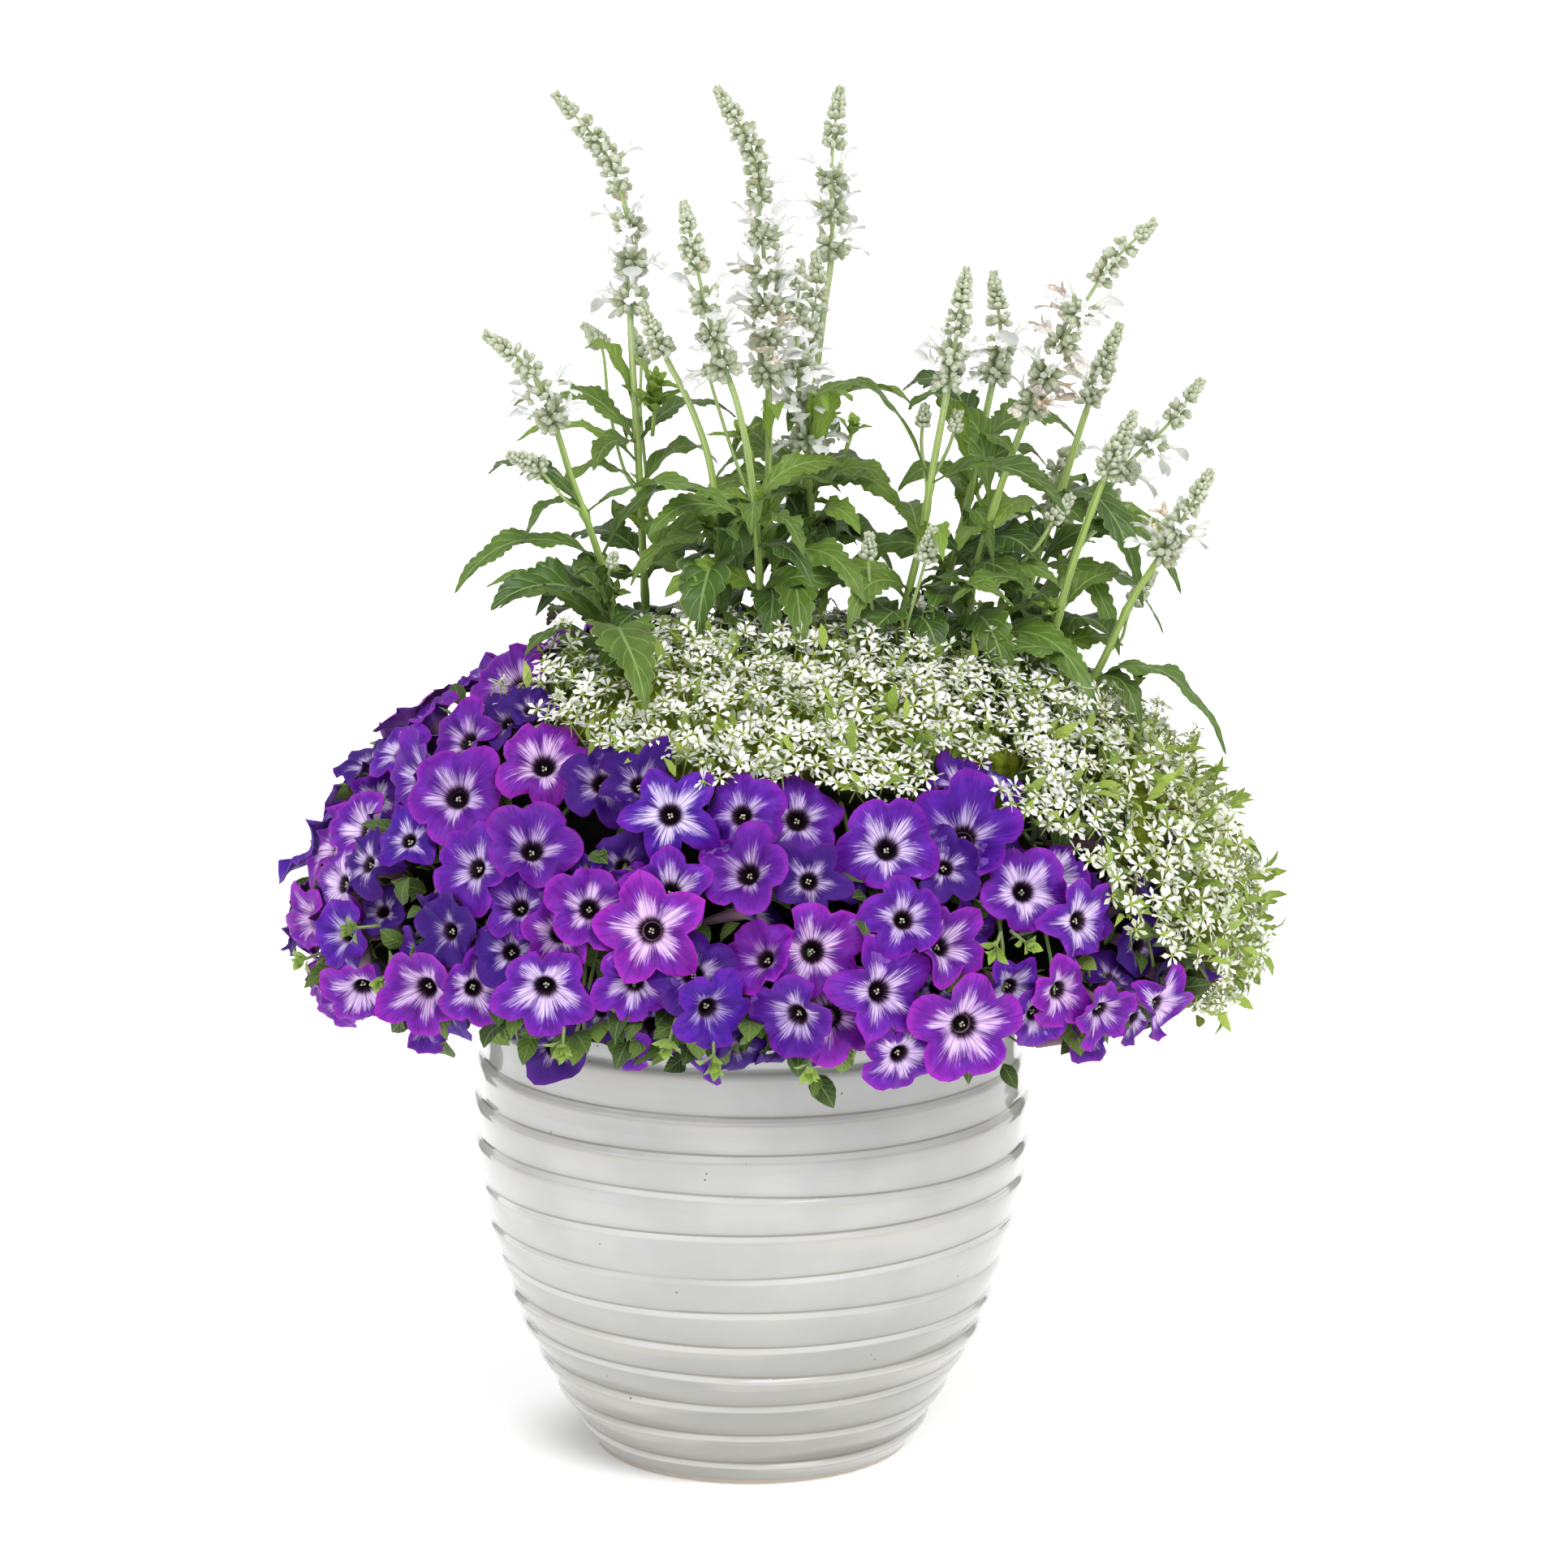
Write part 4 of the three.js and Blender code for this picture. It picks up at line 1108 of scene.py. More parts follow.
def near_pairs(flowers, margin):
    """The numbers of the flowers that lie within a margin of each other."""
    pairs = []
    for i, one in enumerate(flowers):
        for j, other in enumerate(flowers[:i]):
            if np.linalg.norm(one.mouth - other.mouth) < one.radius + other.radius + margin:
                pairs.append((i, j))
    return pairs


def settle(flowers, held):
    """Moves flowers along the way they face, away from those that they cut. The held ones stay in place."""
    outs = np.array([f.out for f in flowers])
    mouths = np.array([f.mouth for f in flowers])
    radii = np.array([f.radius for f in flowers]) * 0.9
    pairs = near_pairs(flowers, 2)
    push = dice(23).uniform(-3, 3, len(flowers))
    push[:held] = 0
    a = corners(20)
    for _ in range(40):
        for i, j in pairs:
            heights = []
            for one, other in ((i, j), (j, i)):
                side = unit(np.cross(outs[one], UP))
                over = np.cross(side, outs[one])
                rim = mouths[one] + push[one] * outs[one] + radii[one] * (
                    np.cos(a)[:, None] * side + np.sin(a)[:, None] * over)
                away = rim - (mouths[other] + push[other] * outs[other])
                height = away @ outs[other]
                level = np.sqrt(np.maximum((away ** 2).sum(1) - height ** 2, 0))
                height = height[level < radii[other]]
                heights += list(height if one == i else -height)
            if heights and min(heights) < 2.5 and max(heights) > -2.5:
                forward = 1.0 if np.mean(heights) > 0 or i < held and j >= held else -1.0
                if i >= held:
                    push[i] += 0.8 * forward
                if j >= held:
                    push[j] -= 0.8 * forward
        push = np.clip(push, -15, 6)
        push[:held] = 0
    for flower, by in zip(flowers, push):
        flower.mouth = flower.mouth + by * flower.out


def overlap(flowers):
    """Opens the flowers and bends the lower one of each pair under the other."""
    for k, flower in enumerate(flowers):
        flower.open(dice(3000 + k))
    pairs = near_pairs(flowers, 6)
    for _ in range(3):
        for i, j in pairs:
            one, other = flowers[i], flowers[j]
            if one.fine == other.fine:
                under = (one.mouth - other.mouth) @ unit(one.out + other.out) < 0
            else:
                under = not one.fine
            upper, lower = (other, one) if under else (one, other)
            upper.press(lower)


def covered(points, flowers, margin=0.0, near=-8, far=32):
    """Which points lie in front of a flower or in it."""
    hidden = np.zeros(len(points), bool)
    for flower in flowers:
        away = points - flower.mouth
        height = away @ flower.out
        level = np.sqrt(np.maximum((away ** 2).sum(1) - height ** 2, 0))
        depth = near - 18 * np.clip(1 - level / flower.radius, 0, 1)
        hidden |= (height > depth) & (height < far) & (level < flower.radius + margin)
    return hidden


def framed_flowers(seen):
    """The flowers that stand for the frame's own, and the seen ones that stay."""
    framed = []
    for name, (turn, rise) in FRAMED_FLOWERS.items():
        turn, rise = math.radians(turn), math.radians(rise)
        mouth = dome(turn, rise, FLOWER_DEPTH)
        near = [f for f in seen if np.linalg.norm(f.mouth - mouth) < 34]
        seen = [f for f in seen if np.linalg.norm(f.mouth - mouth) >= 34]
        lift = max(rise * 0.8 - math.radians(4), math.radians(-22))
        out = np.array([math.cos(lift) * math.cos(turn), math.cos(lift) * math.sin(turn), math.sin(lift)])
        radius, tint, pointed = 27, FLOWER_TINTS["violet"], False
        if near:
            closest = min(near, key=lambda f: np.linalg.norm(f.mouth - mouth))
            radius, tint, pointed = closest.radius, closest.tint, closest.pointed
            out = outward(unit(out + 0.5 * closest.out), dome_normal(turn, rise))
        framed.append(Petunia(mouth, out, float(np.clip(radius, 24, 29)), tint, pointed))
    return framed, seen


def inner_flowers(taken):
    """Smaller flowers deeper in the mound, which fill the gaps between the others."""
    rand = dice(24)

    def spread(r):
        turn, rise = math.radians(r.uniform(60, 345)), math.asin(r.uniform(-0.5, 0.8))
        if turn > math.radians(196) and pixel_of(dome(turn, rise))[1] < LOWEST_BLOOM + 60:
            return None, None
        return turn, rise
    found = []
    for turn, rise in scattered(rand, 3000, 24, spread, taken)[:84]:
        mouth = dome(turn, rise, INNER_DEPTH)
        out = outward(unit(dome_normal(turn, rise) + rand.normal(0, 0.45, 3)), dome_normal(turn, rise))
        tint = jittered(rand, FLOWER_TINTS[rand.choice(INNER_KINDS)])
        found.append(Petunia(mouth, out, rand.uniform(18, 24), tint, False, False))
    return found


def make_petunias():
    """The framed flowers, one piece each, and the others in a piece for each side of the pot."""
    materials = [PETAL, PETUNIA_STEM, ANTHER]
    framed, seen = framed_flowers(seen_flowers())
    flowers = framed + seen + hidden_flowers([f.mouth for f in seen + framed])
    settle(flowers, len(framed))
    inner = inner_flowers([f.mouth for f in flowers])
    overlap(flowers + inner)
    for k, name in enumerate(FRAMED_FLOWERS):
        heap = Heap()
        flowers[k].build(heap, dice(len(name) * 31 + k))
        place(heap, "bloom_" + name, "petunia_petal", materials, name)
    for name, (low, high) in PETUNIA_SIDES.items():
        heap, rand = Heap(), named_dice(name)
        for flower in flowers[len(framed):] + inner:
            turn = math.degrees(math.atan2(flower.mouth[1], flower.mouth[0])) % 360
            if low <= turn < high or low <= turn + 360 < high:
                flower.build(heap, rand)
        place(heap, name, "petunia_petal", materials)
    return flowers


# Foliage of the mound

# Sectors round the pot, in degrees, with the inner radii on the soil and at the top, and where a
# sector stops short of the rim, the outer radii
SECTORS = {
    "petunia_foliage_left": (131, 213, 112, 122), "petunia_foliage_front": (214, 283, 137, 196),
    "petunia_foliage_right": (284, 334, 137, 200), "petunia_foliage_back": (66, 130, 137, 150),
    "euphorbia_foliage_front": (214, 326, 52, 44, 136, 195), "euphorbia_foliage_right": (-25, 65, 141, 232),
}
# The leaf that hangs over the euphorbia in the photograph: pixels of its upper and lower ends
HANGING_LEAF = ((745, 785), (780, 842))
# Lower edge of the euphorbia in the photograph, as pixels
LOWER_EDGE = [(600, 850), (700, 905), (790, 962), (870, 962), (960, 952), (1050, 962), (1120, 985),
              (1160, 950), (1230, 985), (1330, 1030), (1400, 1120), (1450, 1180), (1620, 1200)]
PETUNIA_DEPTH, EUPHORBIA_DEPTH = 52, 22      # how far under the mound's face the shaded inside begins
LOWEST_RISE = math.radians(-48)

# Leafy tips of the petunias that the photograph shows, by pixel: place, and where the tip points
# in the picture (right and down)
TIPS_SEEN = [(1205, 1130, 0.3, 0.5), (548, 1003, -1, -0.4), (440, 1143, -1, 0), (378, 1181, -0.6, 0.2),
             (1346, 1211, 0.6, 0.5), (1456, 1283, 0.8, 0.6), (1112, 1304, 0.4, 0.8), (998, 1313, 0, 1),
             (880, 1300, 0.1, 1), (825, 1282, -0.3, 0.9), (512, 1160, 0.4, 0.9), (474, 1205, -0.3, 0.9),
             (694, 1285, 0, 1), (1130, 918, 0.8, -0.5), (1170, 925, -0.6, -0.5), (1490, 1262, 0.9, 0.5),
             (1340, 1275, 0.3, 1), (1225, 1300, 0.2, 1), (935, 1285, 0, 1), (770, 1150, 0.5, 0.8),
             (905, 1130, 0.2, 0.8), (1085, 1175, 0.4, 0.7), (640, 1020, 0.6, -0.4), (792, 1230, 0.3, 1),
             (1226, 1166, -0.3, 0.4), (1262, 1160, 0.4, 0.3)]


def among_petunias(points):
    """1 where the mound's points show below the euphorbia in the photograph, and 0 on its own ground."""
    x, y = np.moveaxis(pixel_of(points), -1, 0)
    to_front = -points[..., 1] / np.hypot(points[..., 0], points[..., 1])
    return smooth(-35, 10, y - np.interp(x, *zip(*LOWER_EDGE))) * smooth(0.28, 0.4, to_front)


def add_inside(heap, sector, depth, material, seed):
    """The body inside a sector of foliage, in painted shade, which lies deeper and is painted darker under
    the petunias.
    """
    low, high, inner_foot, inner_top, *outer = sector
    rand = dice(seed)
    turns = np.radians(np.linspace(low, high, max(8, int((high - low) / 4))))
    rings = []
    for turn in turns:
        top = math.acos(inner_top / (float(belt(turn)) - depth))
        profile = [(inner_foot, soil_face(inner_foot) + STAND_OFF)]
        if outer:
            profile.append((outer[0], soil_face(outer[0]) + STAND_OFF))
            start = math.acos(outer[1] / (float(belt(turn)) - depth))
        else:
            profile += [(150, soil_face(150) + STAND_OFF), (155.8, 316.4), (169, 316.4)]
            start = LOWEST_RISE
        for rise in np.linspace(start, top, 16):
            under = float(among_petunias(dome(turn, rise))) if outer else 0.0
            x, y, z = dome(turn, rise, depth + (PETUNIA_DEPTH - depth) * under)
            bump = rand.normal(0, 3.0)
            profile.append((math.hypot(x, y) + bump, float(z) + rand.normal(0, 1.5)))
        across = (inner_top + inner_foot) / 2
        profile.append((across, (profile[-1][1] + profile[0][1]) / 2))
        rings.append([(r * math.cos(turn), r * math.sin(turn), h) for r, h in profile])
    points, grid = loft(np.array(rings))
    tints = np.zeros((len(points), 3))
    # How far the body lies under the petunias, which sets how dark its painted shade is
    tints[:, 0] = among_petunias(points)
    heap.add(points, [grid], NO_SPOT, tints, material)


def small_leaf(rand, slim, rows=6, columns=5):
    """A small leaf of length 1 that points along +Y and looks up."""
    t = np.linspace(0, 1, rows)
    path = np.stack([rand.normal(0, 0.05) * t ** 2, t, rand.uniform(0.1, 0.3) * np.sin(math.pi * t * 0.8)
                     - rand.uniform(0, 0.25) * t ** 2], 1)
    half = slim * np.sin(math.pi * t ** 0.8) ** 0.85 + 0.03 * (1 - t)
    half[-1] = 0.01
    return leaf_shape(path, half, UP, columns, 0.035, rand.uniform(0.05, 0.35), 0.1, 0.03, rand=rand)


def scatter_leaves(heap, rand, shapes, points, ahead, over, sizes, youth, material, flowers=()):
    """Copies of the leaf shapes at points, left out where they would stand in a flower."""
    clear = np.ones(len(points), bool)
    for share in (0.35, 1.0):
        clear &= ~covered(points + unit(ahead) * (sizes * share)[:, None], flowers, -1.0)
    points, ahead, over, sizes, youth = (x[clear] for x in (points, ahead, over, sizes, youth))
    for (shape, grids, spots), at in dealt(rand, shapes, len(points)):
        tints = np.stack([youth[at], rand.random(len(at)), rand.random(len(at))], 1)
        turned = frame_of(ahead[at], over[at])
        heap.add_many(copies(shape, points[at], turned, sizes[at]), grids, spots, tints, material)


def leafy_tip(heap, rand, foot, ahead, size, youth, shapes, count=7):
    """A young shoot: a short stem with small leaves closing round its end."""
    ahead = unit(np.asarray(ahead, float))
    side = unit(np.cross(ahead, UP + [0.1, 0.2, 0]))
    path = foot + ahead * np.linspace(-size * 1.1, size * 0.5, 5)[:, None]
    heap.add_tube(path, [1.1, 1.1, 1.0, 0.9, 0.6], 5, (0.3, rand.random(), 0), 1)
    for k in range(count):
        share = k / count
        a = k * 2.4 + rand.uniform(-0.3, 0.3)
        out = side * math.cos(a) + np.cross(ahead, side) * math.sin(a)
        spread = 1.25 - 0.85 * share
        point = unit(out * spread + ahead * (0.5 + share))
        start = foot + ahead * size * (0.5 * share - 0.1) + out * 0.8
        shape, grids, spots = shapes[rand.integers(len(shapes))]
        turned = frame_of(point, ahead - out * 0.5)
        leaf = one_copy(shape, start, turned, size * rand.uniform(0.6, 1.0) * (1 - 0.35 * share))
        heap.add(leaf, grids, spots, (youth, rand.random(), 0.1), 0)


def make_petunia_foliage(name, flowers):
    """Leaves, stems and leafy tips of one petunia sector, over a dark inside."""
    sector = SECTORS[name]
    low, high, _, inner_top = sector
    rand = named_dice(name)
    heap = Heap()
    add_inside(heap, sector, PETUNIA_DEPTH, 2, 31)
    shapes = [small_leaf(rand, slim) for slim in (0.24, 0.28, 0.31, 0.34, 0.27, 0.3)]
    count = int((high - low) * 4.2)
    turn = np.radians(rand.uniform(low - 1, high + 1, count))
    top = np.arccos(inner_top / (belt(turn) - 30))
    sine = rand.uniform(-0.3, 1, count)
    rise = np.where(sine < 0, np.arcsin(sine), np.arcsin(np.clip(sine, 0, 1) * np.sin(top)))
    normal = dome_normal(turn, rise)
    foot = dome(turn, rise, rand.uniform(18, 38, count))
    loose = rand.normal(0, 1, (count, 3))
    ahead = unit(normal * rand.uniform(0.2, 1.0, (count, 1)) + loose * 0.65
                 - UP * np.where(rise < 0, 0.5, 0)[:, None])
    over = normal + UP * 0.4 + rand.normal(0, 0.3, (count, 3))
    youth = np.clip(rand.normal(0.02, 0.2, count), 0, 0.8)
    scatter_leaves(heap, rand, shapes, foot, ahead, over, rand.uniform(16, 26, count), youth, 0, flowers)
    # A few leaves hang under the lowest flowers
    count = int((high - low) * 0.07)
    turn = np.radians(rand.uniform(low, high, count))
    rise = np.radians(rand.uniform(-42, -26, count))
    foot = dome(turn, rise, rand.uniform(20, 42, count))
    normal = dome_normal(turn, rise)
    ahead = unit(normal * rand.uniform(0.3, 1.0, (count, 1)) - UP * rand.uniform(0.1, 0.9, (count, 1))
                 + rand.normal(0, 0.5, (count, 3)))
    scatter_leaves(heap, rand, shapes, foot, ahead, normal + UP * 0.6 + rand.normal(0, 0.3, (count, 3)),
                   rand.uniform(14, 24, count), np.clip(rand.normal(-0.05, 0.2, count), 0, 0.8), 0, flowers)
    for _ in range(int((high - low) / 7)):
        turn, end = math.radians(rand.uniform(low + 2, high - 2)), math.radians(rand.uniform(-30, 30))
        start = max(end + 0.2, math.radians(rand.uniform(25, 50)))
        path = dome(turn + np.linspace(0, rand.uniform(-0.12, 0.12), 10), np.linspace(start, end, 10),
                    np.linspace(38, rand.uniform(14, 26), 10))
        heap.add_tube(path, np.linspace(1.6, 1.0, 10), 5, (0.1, rand.random(), 0), 1)
    for x, y, right, down in TIPS_SEEN:
        turn, rise = at_pixel(x, y, 2)
        degrees = math.degrees(turn) % 360
        foot = dome(turn, rise, 2)
        if low <= degrees < high + 1 and not covered(foot[None], flowers, -5, -12)[0]:
            ahead = unit(np.array([right, -0.55, -down]) + 0.3 * dome_normal(turn, rise))
            leafy_tip(heap, rand, foot, ahead, rand.uniform(13, 18), rand.uniform(0.5, 1.0), shapes)
    for _ in range(int((high - low) / 9)):
        turn, rise = math.radians(rand.uniform(low, high)), math.radians(rand.uniform(-35, 40))
        if math.sin(turn) < -0.3:
            continue
        foot = dome(turn, rise, rand.uniform(6, 18))
        ahead = unit(dome_normal(turn, rise) + rand.normal(0, 0.5, 3))
        if covered(foot[None], flowers, 4)[0]:
            continue
        leafy_tip(heap, rand, foot, ahead, rand.uniform(13, 18), rand.uniform(0.4, 1.0), shapes)
    materials = [PETUNIA_LEAF, PETUNIA_STEM, SHADE_BODY]
    place(heap, name.replace("foliage", "leaves"), "petunia_leaf", materials, name)


# Euphorbia

def bloom_shapes(rand, bracts):
    """A small bloom that looks along +Z: its bracts, its eye and its stalk, as three shapes."""
    leaves = []
    turn = rand.uniform(0, TURN)
    for k in range(bracts):
        a = turn + k * TURN / bracts + rand.uniform(-0.22, 0.22)
        length, wide = rand.uniform(5.8, 8.2), rand.uniform(1.2, 1.8)
        ring = np.array([[[-wide, 0.68 * length, 0.15], [wide, 0.68 * length, 0.15],
                          [0, 0.6 * length, -0.35]]])
        points, grid = loft(ring, np.array([0, 0.5, 0]), np.array([0, length, 0]))
        points[:, 2] += points[:, 1] * rand.uniform(0.0, 0.6) - 0.05 * points[:, 1] ** 2 * rand.uniform(0, 1)
        spots = np.zeros((len(points), 3))
        spots[:, 2] = [0.7, 0.7, 0.6, 0, 1]
        turned = np.array([[math.cos(a), math.sin(a), 0], [-math.sin(a), math.cos(a), 0], [0, 0, 1]])
        leaves.append((points @ turned, [grid], spots))
    eye, grid = loft(circle(1.15, corners(4), 0.4)[None], np.array([0, 0, -0.8]), np.array([0, 0, 1.7]))
    path = np.array([[0, 0, -0.5], [rand.normal(0, 1), rand.normal(0, 1), -8.0]])
    return joined(leaves), (eye, [grid], NO_SPOT), tube(path, [0.45, 0.5], 3)


def add_blooms(heap, rand, shapes, points, out, sizes, age=0.05):
    """Copies of the bloom shapes. age greens their bracts, one for all or one each."""
    ages = np.clip(age + rand.normal(0, 0.13, len(points)), 0, 1)
    for parts, at in dealt(rand, shapes, len(points)):
        z = unit(out[at])
        x = unit(np.cross(rand.normal(0, 1, (len(at), 3)), z))
        frames = rigid(x, z)
        tints = np.stack([ages[at], rand.random(len(at)), rand.random(len(at))], 1)
        for material, (shape, grids, spots) in enumerate(parts):
            heap.add_many(copies(shape, points[at], frames, sizes[at]), grids, spots, tints, material)


def make_euphorbia(name, spread, spacing, age, leafy, flowers):
    """One sector of euphorbia: blooms, narrow leaves and stems over a green inside.

    age: how green the blooms are. leafy: leaves for each bloom.
    """
    sector = SECTORS[name]
    rand = named_dice(name)
    heap = Heap(flat=(0,))
    add_inside(heap, sector, EUPHORBIA_DEPTH, 4, 41)
    blooms = [bloom_shapes(rand, bracts) for bracts in (5, 6, 6, 5, 6, 5, 5, 6)]
    turn, rise = scattered(rand, 18000, spacing, spread).T
    layer = rand.uniform(-1, 15, len(turn)) + 4 * smooth(230, 300, dome(turn, rise)[:, 0])
    clear = ~covered(dome(turn, rise, 0), flowers, -4.0, -14, 24)
    clear &= ~((leaf_gap(dome(turn, rise, 0)) < 27) & (layer < 10))
    turn, rise, layer = turn[clear], rise[clear], layer[clear]
    count = len(turn)
    normal = dome_normal(turn, rise)
    points = dome(turn, rise, 0) - normal * layer[:, None]
    out = unit(normal + UP * 0.25 + rand.normal(0, 0.42, (count, 3)))
    add_blooms(heap, rand, blooms, points, out, rand.uniform(0.92, 1.24, count), age + layer / 16)

    slim = [small_leaf(rand, width, 4, 3) for width in (0.13, 0.15, 0.17)]
    pick = rand.integers(0, count, int(count * leafy))
    foot = (dome(turn[pick], rise[pick], 0) - normal[pick] * rand.uniform(6, 16, (len(pick), 1))
            + rand.normal(0, 4, (len(pick), 3)))
    ahead = unit(normal[pick] * 0.8 + rand.normal(0, 0.7, (len(pick), 3)))
    scatter_leaves(heap, rand, slim, foot, ahead, normal[pick] + rand.normal(0, 0.3, (len(pick), 3)),
                   rand.uniform(11, 20, len(pick)), rand.uniform(0, 0.7, len(pick)), 3)
    for i in rand.integers(0, count, int(count * 0.14)):
        lean = rand.normal(0, 5, 3)
        path = (points[i] - normal[i] * np.array([0, 8, 17, 27])[:, None]
                + lean * np.array([0, 0.3, 0.8, 1])[:, None])
        heap.add_tube(path, [0.5, 0.6, 0.8, 0.9], 4, (float(rand.random() < 0.12), rand.random(), 0), 2)
    for i in rand.integers(0, count, int(count * 0.04)):
        way = unit(normal[i] + UP * 0.2 + rand.normal(0, 0.35, 3))
        reach = rand.uniform(6, 13)
        path = points[i] + way * np.linspace(-22, reach, 5)[:, None]
        heap.add_tube(path, [0.8, 0.7, 0.6, 0.5, 0.4], 4, (0, rand.random(), 0), 2)
        ends = path[-1] + rand.normal(0, 3.6, (4, 3))
        add_blooms(heap, rand, blooms, ends, way + rand.normal(0, 0.5, (4, 3)), rand.uniform(0.8, 1.05, 4))
    materials = [BRACT, BRACT_EYE, EUPHORBIA_STEM, EUPHORBIA_LEAF, PALE_BODY_AND_SHADE]
    place(heap, name.replace("foliage", "blooms"), "euphorbia", materials, name)


def leaf_gap(points):
    """How far points lie from the middle of the hanging leaf, in pixels of the photograph."""
    start, end = np.array(HANGING_LEAF, float)
    away = pixel_of(points) - start
    share = np.clip(away @ (end - start) / ((end - start) ** 2).sum(), 0, 1)
    gap = np.linalg.norm(away - share[:, None] * (end - start), axis=1)
    return np.where(points[:, 1] < 0, gap, 1000.0)


def front_euphorbia(rand):
    """A random place of the front sector: the middle of the mound, down to the petunias."""
    turn = math.radians(rand.uniform(196, 352))
    rise = math.asin(rand.uniform(0.1, 0.995))
    point = dome(turn, rise)
    x, y = pixel_of(point)
    if y > np.interp(x, *zip(*LOWER_EDGE)) or math.hypot(point[0], point[1]) < 26 or point[0] > 205:
        return None, None
    if turn < math.radians(214) and math.hypot(point[0], point[1]) > 190:
        return None, None
    return turn, rise


def right_euphorbia(rand):
    """A random place of the right sector, from the rim up to the sage."""
    turn = math.radians(rand.uniform(-72, 67))
    rise = math.asin(rand.uniform(-0.55, 0.97))
    point = dome(turn, rise)
    x, y = pixel_of(point)
    inner = math.hypot(point[0], point[1]) < 150 or point[0] < 205 and turn < 0
    if inner or (math.sin(turn) < -0.36 and y > np.interp(x, *zip(*LOWER_EDGE))):
        return None, None
    return turn, rise


# Sage

# Stems in mm, as in the CAD source: foot, length of the flowering part, and the way up from the foot
SAGE_STEMS = {
    "left_tall": ((-48, 30), 147, [(-65, 30, 510), (-70, 35, 615), (-75, 40, 710), (-75, 50, 760),
                                   (-90, 55, 810), (-120, 60, 845)]),
    "centre_tall": ((0, 12), 190, [(5, 10, 555), (10, 5, 610), (10, 0, 695), (5, 0, 790), (0, -5, 820),
                                   (-20, -10, 855)]),
    "right_tall": ((25, 50), 105, [(30, 60, 550), (35, 70, 620), (45, 80, 710), (50, 90, 745),
                                   (50, 100, 805), (55, 110, 845)]),
    "left_middle": ((6, -20), 112, [(3, -22, 590), (-8, -28, 665), (-20, -34, 700), (-30, -40, 740),
                                    (-40, -50, 790)]),
    "right_middle": ((40, 22), 118, [(38, 30, 555), (34, 35, 635), (28, 37, 690), (30, 40, 745)]),
    "left_low": ((-72, 2), 74, [(-85, -10, 535), (-95, -15, 575), (-110, -20, 620), (-120, -30, 655),
                                (-135, -35, 690), (-160, -40, 710)]),
    "left_bud": ((-24, 2), 38, [(-20, 0, 540), (-25, -10, 625), (-40, -15, 670), (-50, -20, 690),
                                (-65, -30, 725)]),
    "right_front": ((66, -6), 76, [(90, -10, 515), (105, -15, 585), (110, -20, 620), (120, -30, 680),
                                   (130, -40, 750)]),
    "right_back": ((84, 36), 67, [(120, 40, 535), (135, 45, 595), (150, 50, 670), (155, 55, 690),
                                  (150, 60, 735)]),
    "right_lean": ((92, 14), 147, [(135, 20, 535), (145, 15, 580), (170, 10, 655), (190, 0, 700),
                                   (220, -5, 750), (245, -10, 775)]),
    "right_arch": ((102, 54), 58, [(160, 50, 485), (180, 60, 560), (190, 65, 585), (210, 70, 650),
                                   (230, 80, 700)]),
    "right_short": ((112, 8), 47, [(182, 2, 500), (195, 0, 552), (215, 0, 612), (235, 0, 657)]),
    "right_far": ((96, 82), 106, [(190, 90, 525), (230, 100, 600), (265, 110, 635), (285, 120, 660)]),
    "right_low": ((116, -12), 64, [(205, -6, 480), (215, -10, 500), (235, -15, 545), (250, -20, 570),
                                   (280, -30, 625)]),
}
STEM_FOOT, STEM_TOP = 3.1, 2.0
ROOTED = 1.4      # how deep leaf stalks start inside their stem
SHORT_SPIKE, LONG_SPIKE = 60, 95
# Florets in an open whorl, from the fewest to one more than the most
OPEN_FLORETS = {"left_tall": (6, 10), "centre_tall": (8, 12), "right_tall": (4, 7), "left_middle": (4, 7),
                "right_middle": (9, 13), "left_low": (5, 9), "left_bud": (0, 1), "right_front": (5, 9),
                "right_back": (3, 5), "right_lean": (6, 10), "right_arch": (1, 4), "right_short": (1, 3),
                "right_far": (5, 9), "right_low": (4, 7)}
# The share of florets and calyces that are brown, where it isn't small
WORN = {"right_lean": 0.4, "centre_tall": 0.14, "left_middle": 0.12}
# Calyces in each tier of an open whorl, and their lift in degrees
OPEN_TIERS = [(7, -38), (8, -8), (7, 20), (5, 48)]
# Leaf pairs of the frame: stem, height of the node, half width and the two tips
LEAF_PAIRS = {
    "left_low_1": ("left_low", 568, (11, 8), (-180, -60, 555), (-20, 55, 590)),
    "left_low_2": ("left_low", 597, (13, 9), (-8, -62, 603), (-165, 55, 610)),
    "left_low_3": ("left_low", 522, (17, 13), (-158, -62, 545), (-112, 78, 540)),
    "left_low_4": ("left_low", 512, (21, 15), (-62, -150, 500), (-130, 75, 510)),
    "right_front_1": ("right_front", 615, (12, 12), (38, -52, 672), (190, -62, 605)),
    "right_back_1": ("right_back", 628, (14, 12), (95, 108, 655), (205, 112, 625)),
    "right_arch_1": ("right_arch", 590, (13, 11), (242, 0, 535), (135, 135, 590)),
    "right_short_1": ("right_short", 530, (11, 10), (240, 36, 545), (122, -52, 548)),
    "right_low_1": ("right_low", 492, (13, 11), (292, -38, 450), (140, -50, 505)),
    "centre_tall_1": ("centre_tall", 560, (13, 12), (70, -58, 548), (-50, 70, 570)),
    "left_tall_1": ("left_tall", 632, (9, 10), (-10, 95, 640), (-150, 75, 650)),
    "right_tall_1": ("right_tall", 600, (13, 11), (90, 145, 575), (-25, 150, 590)),
    "right_far_1": ("right_far", 560, (12, 11), (275, 130, 520), (150, 175, 540)),
}
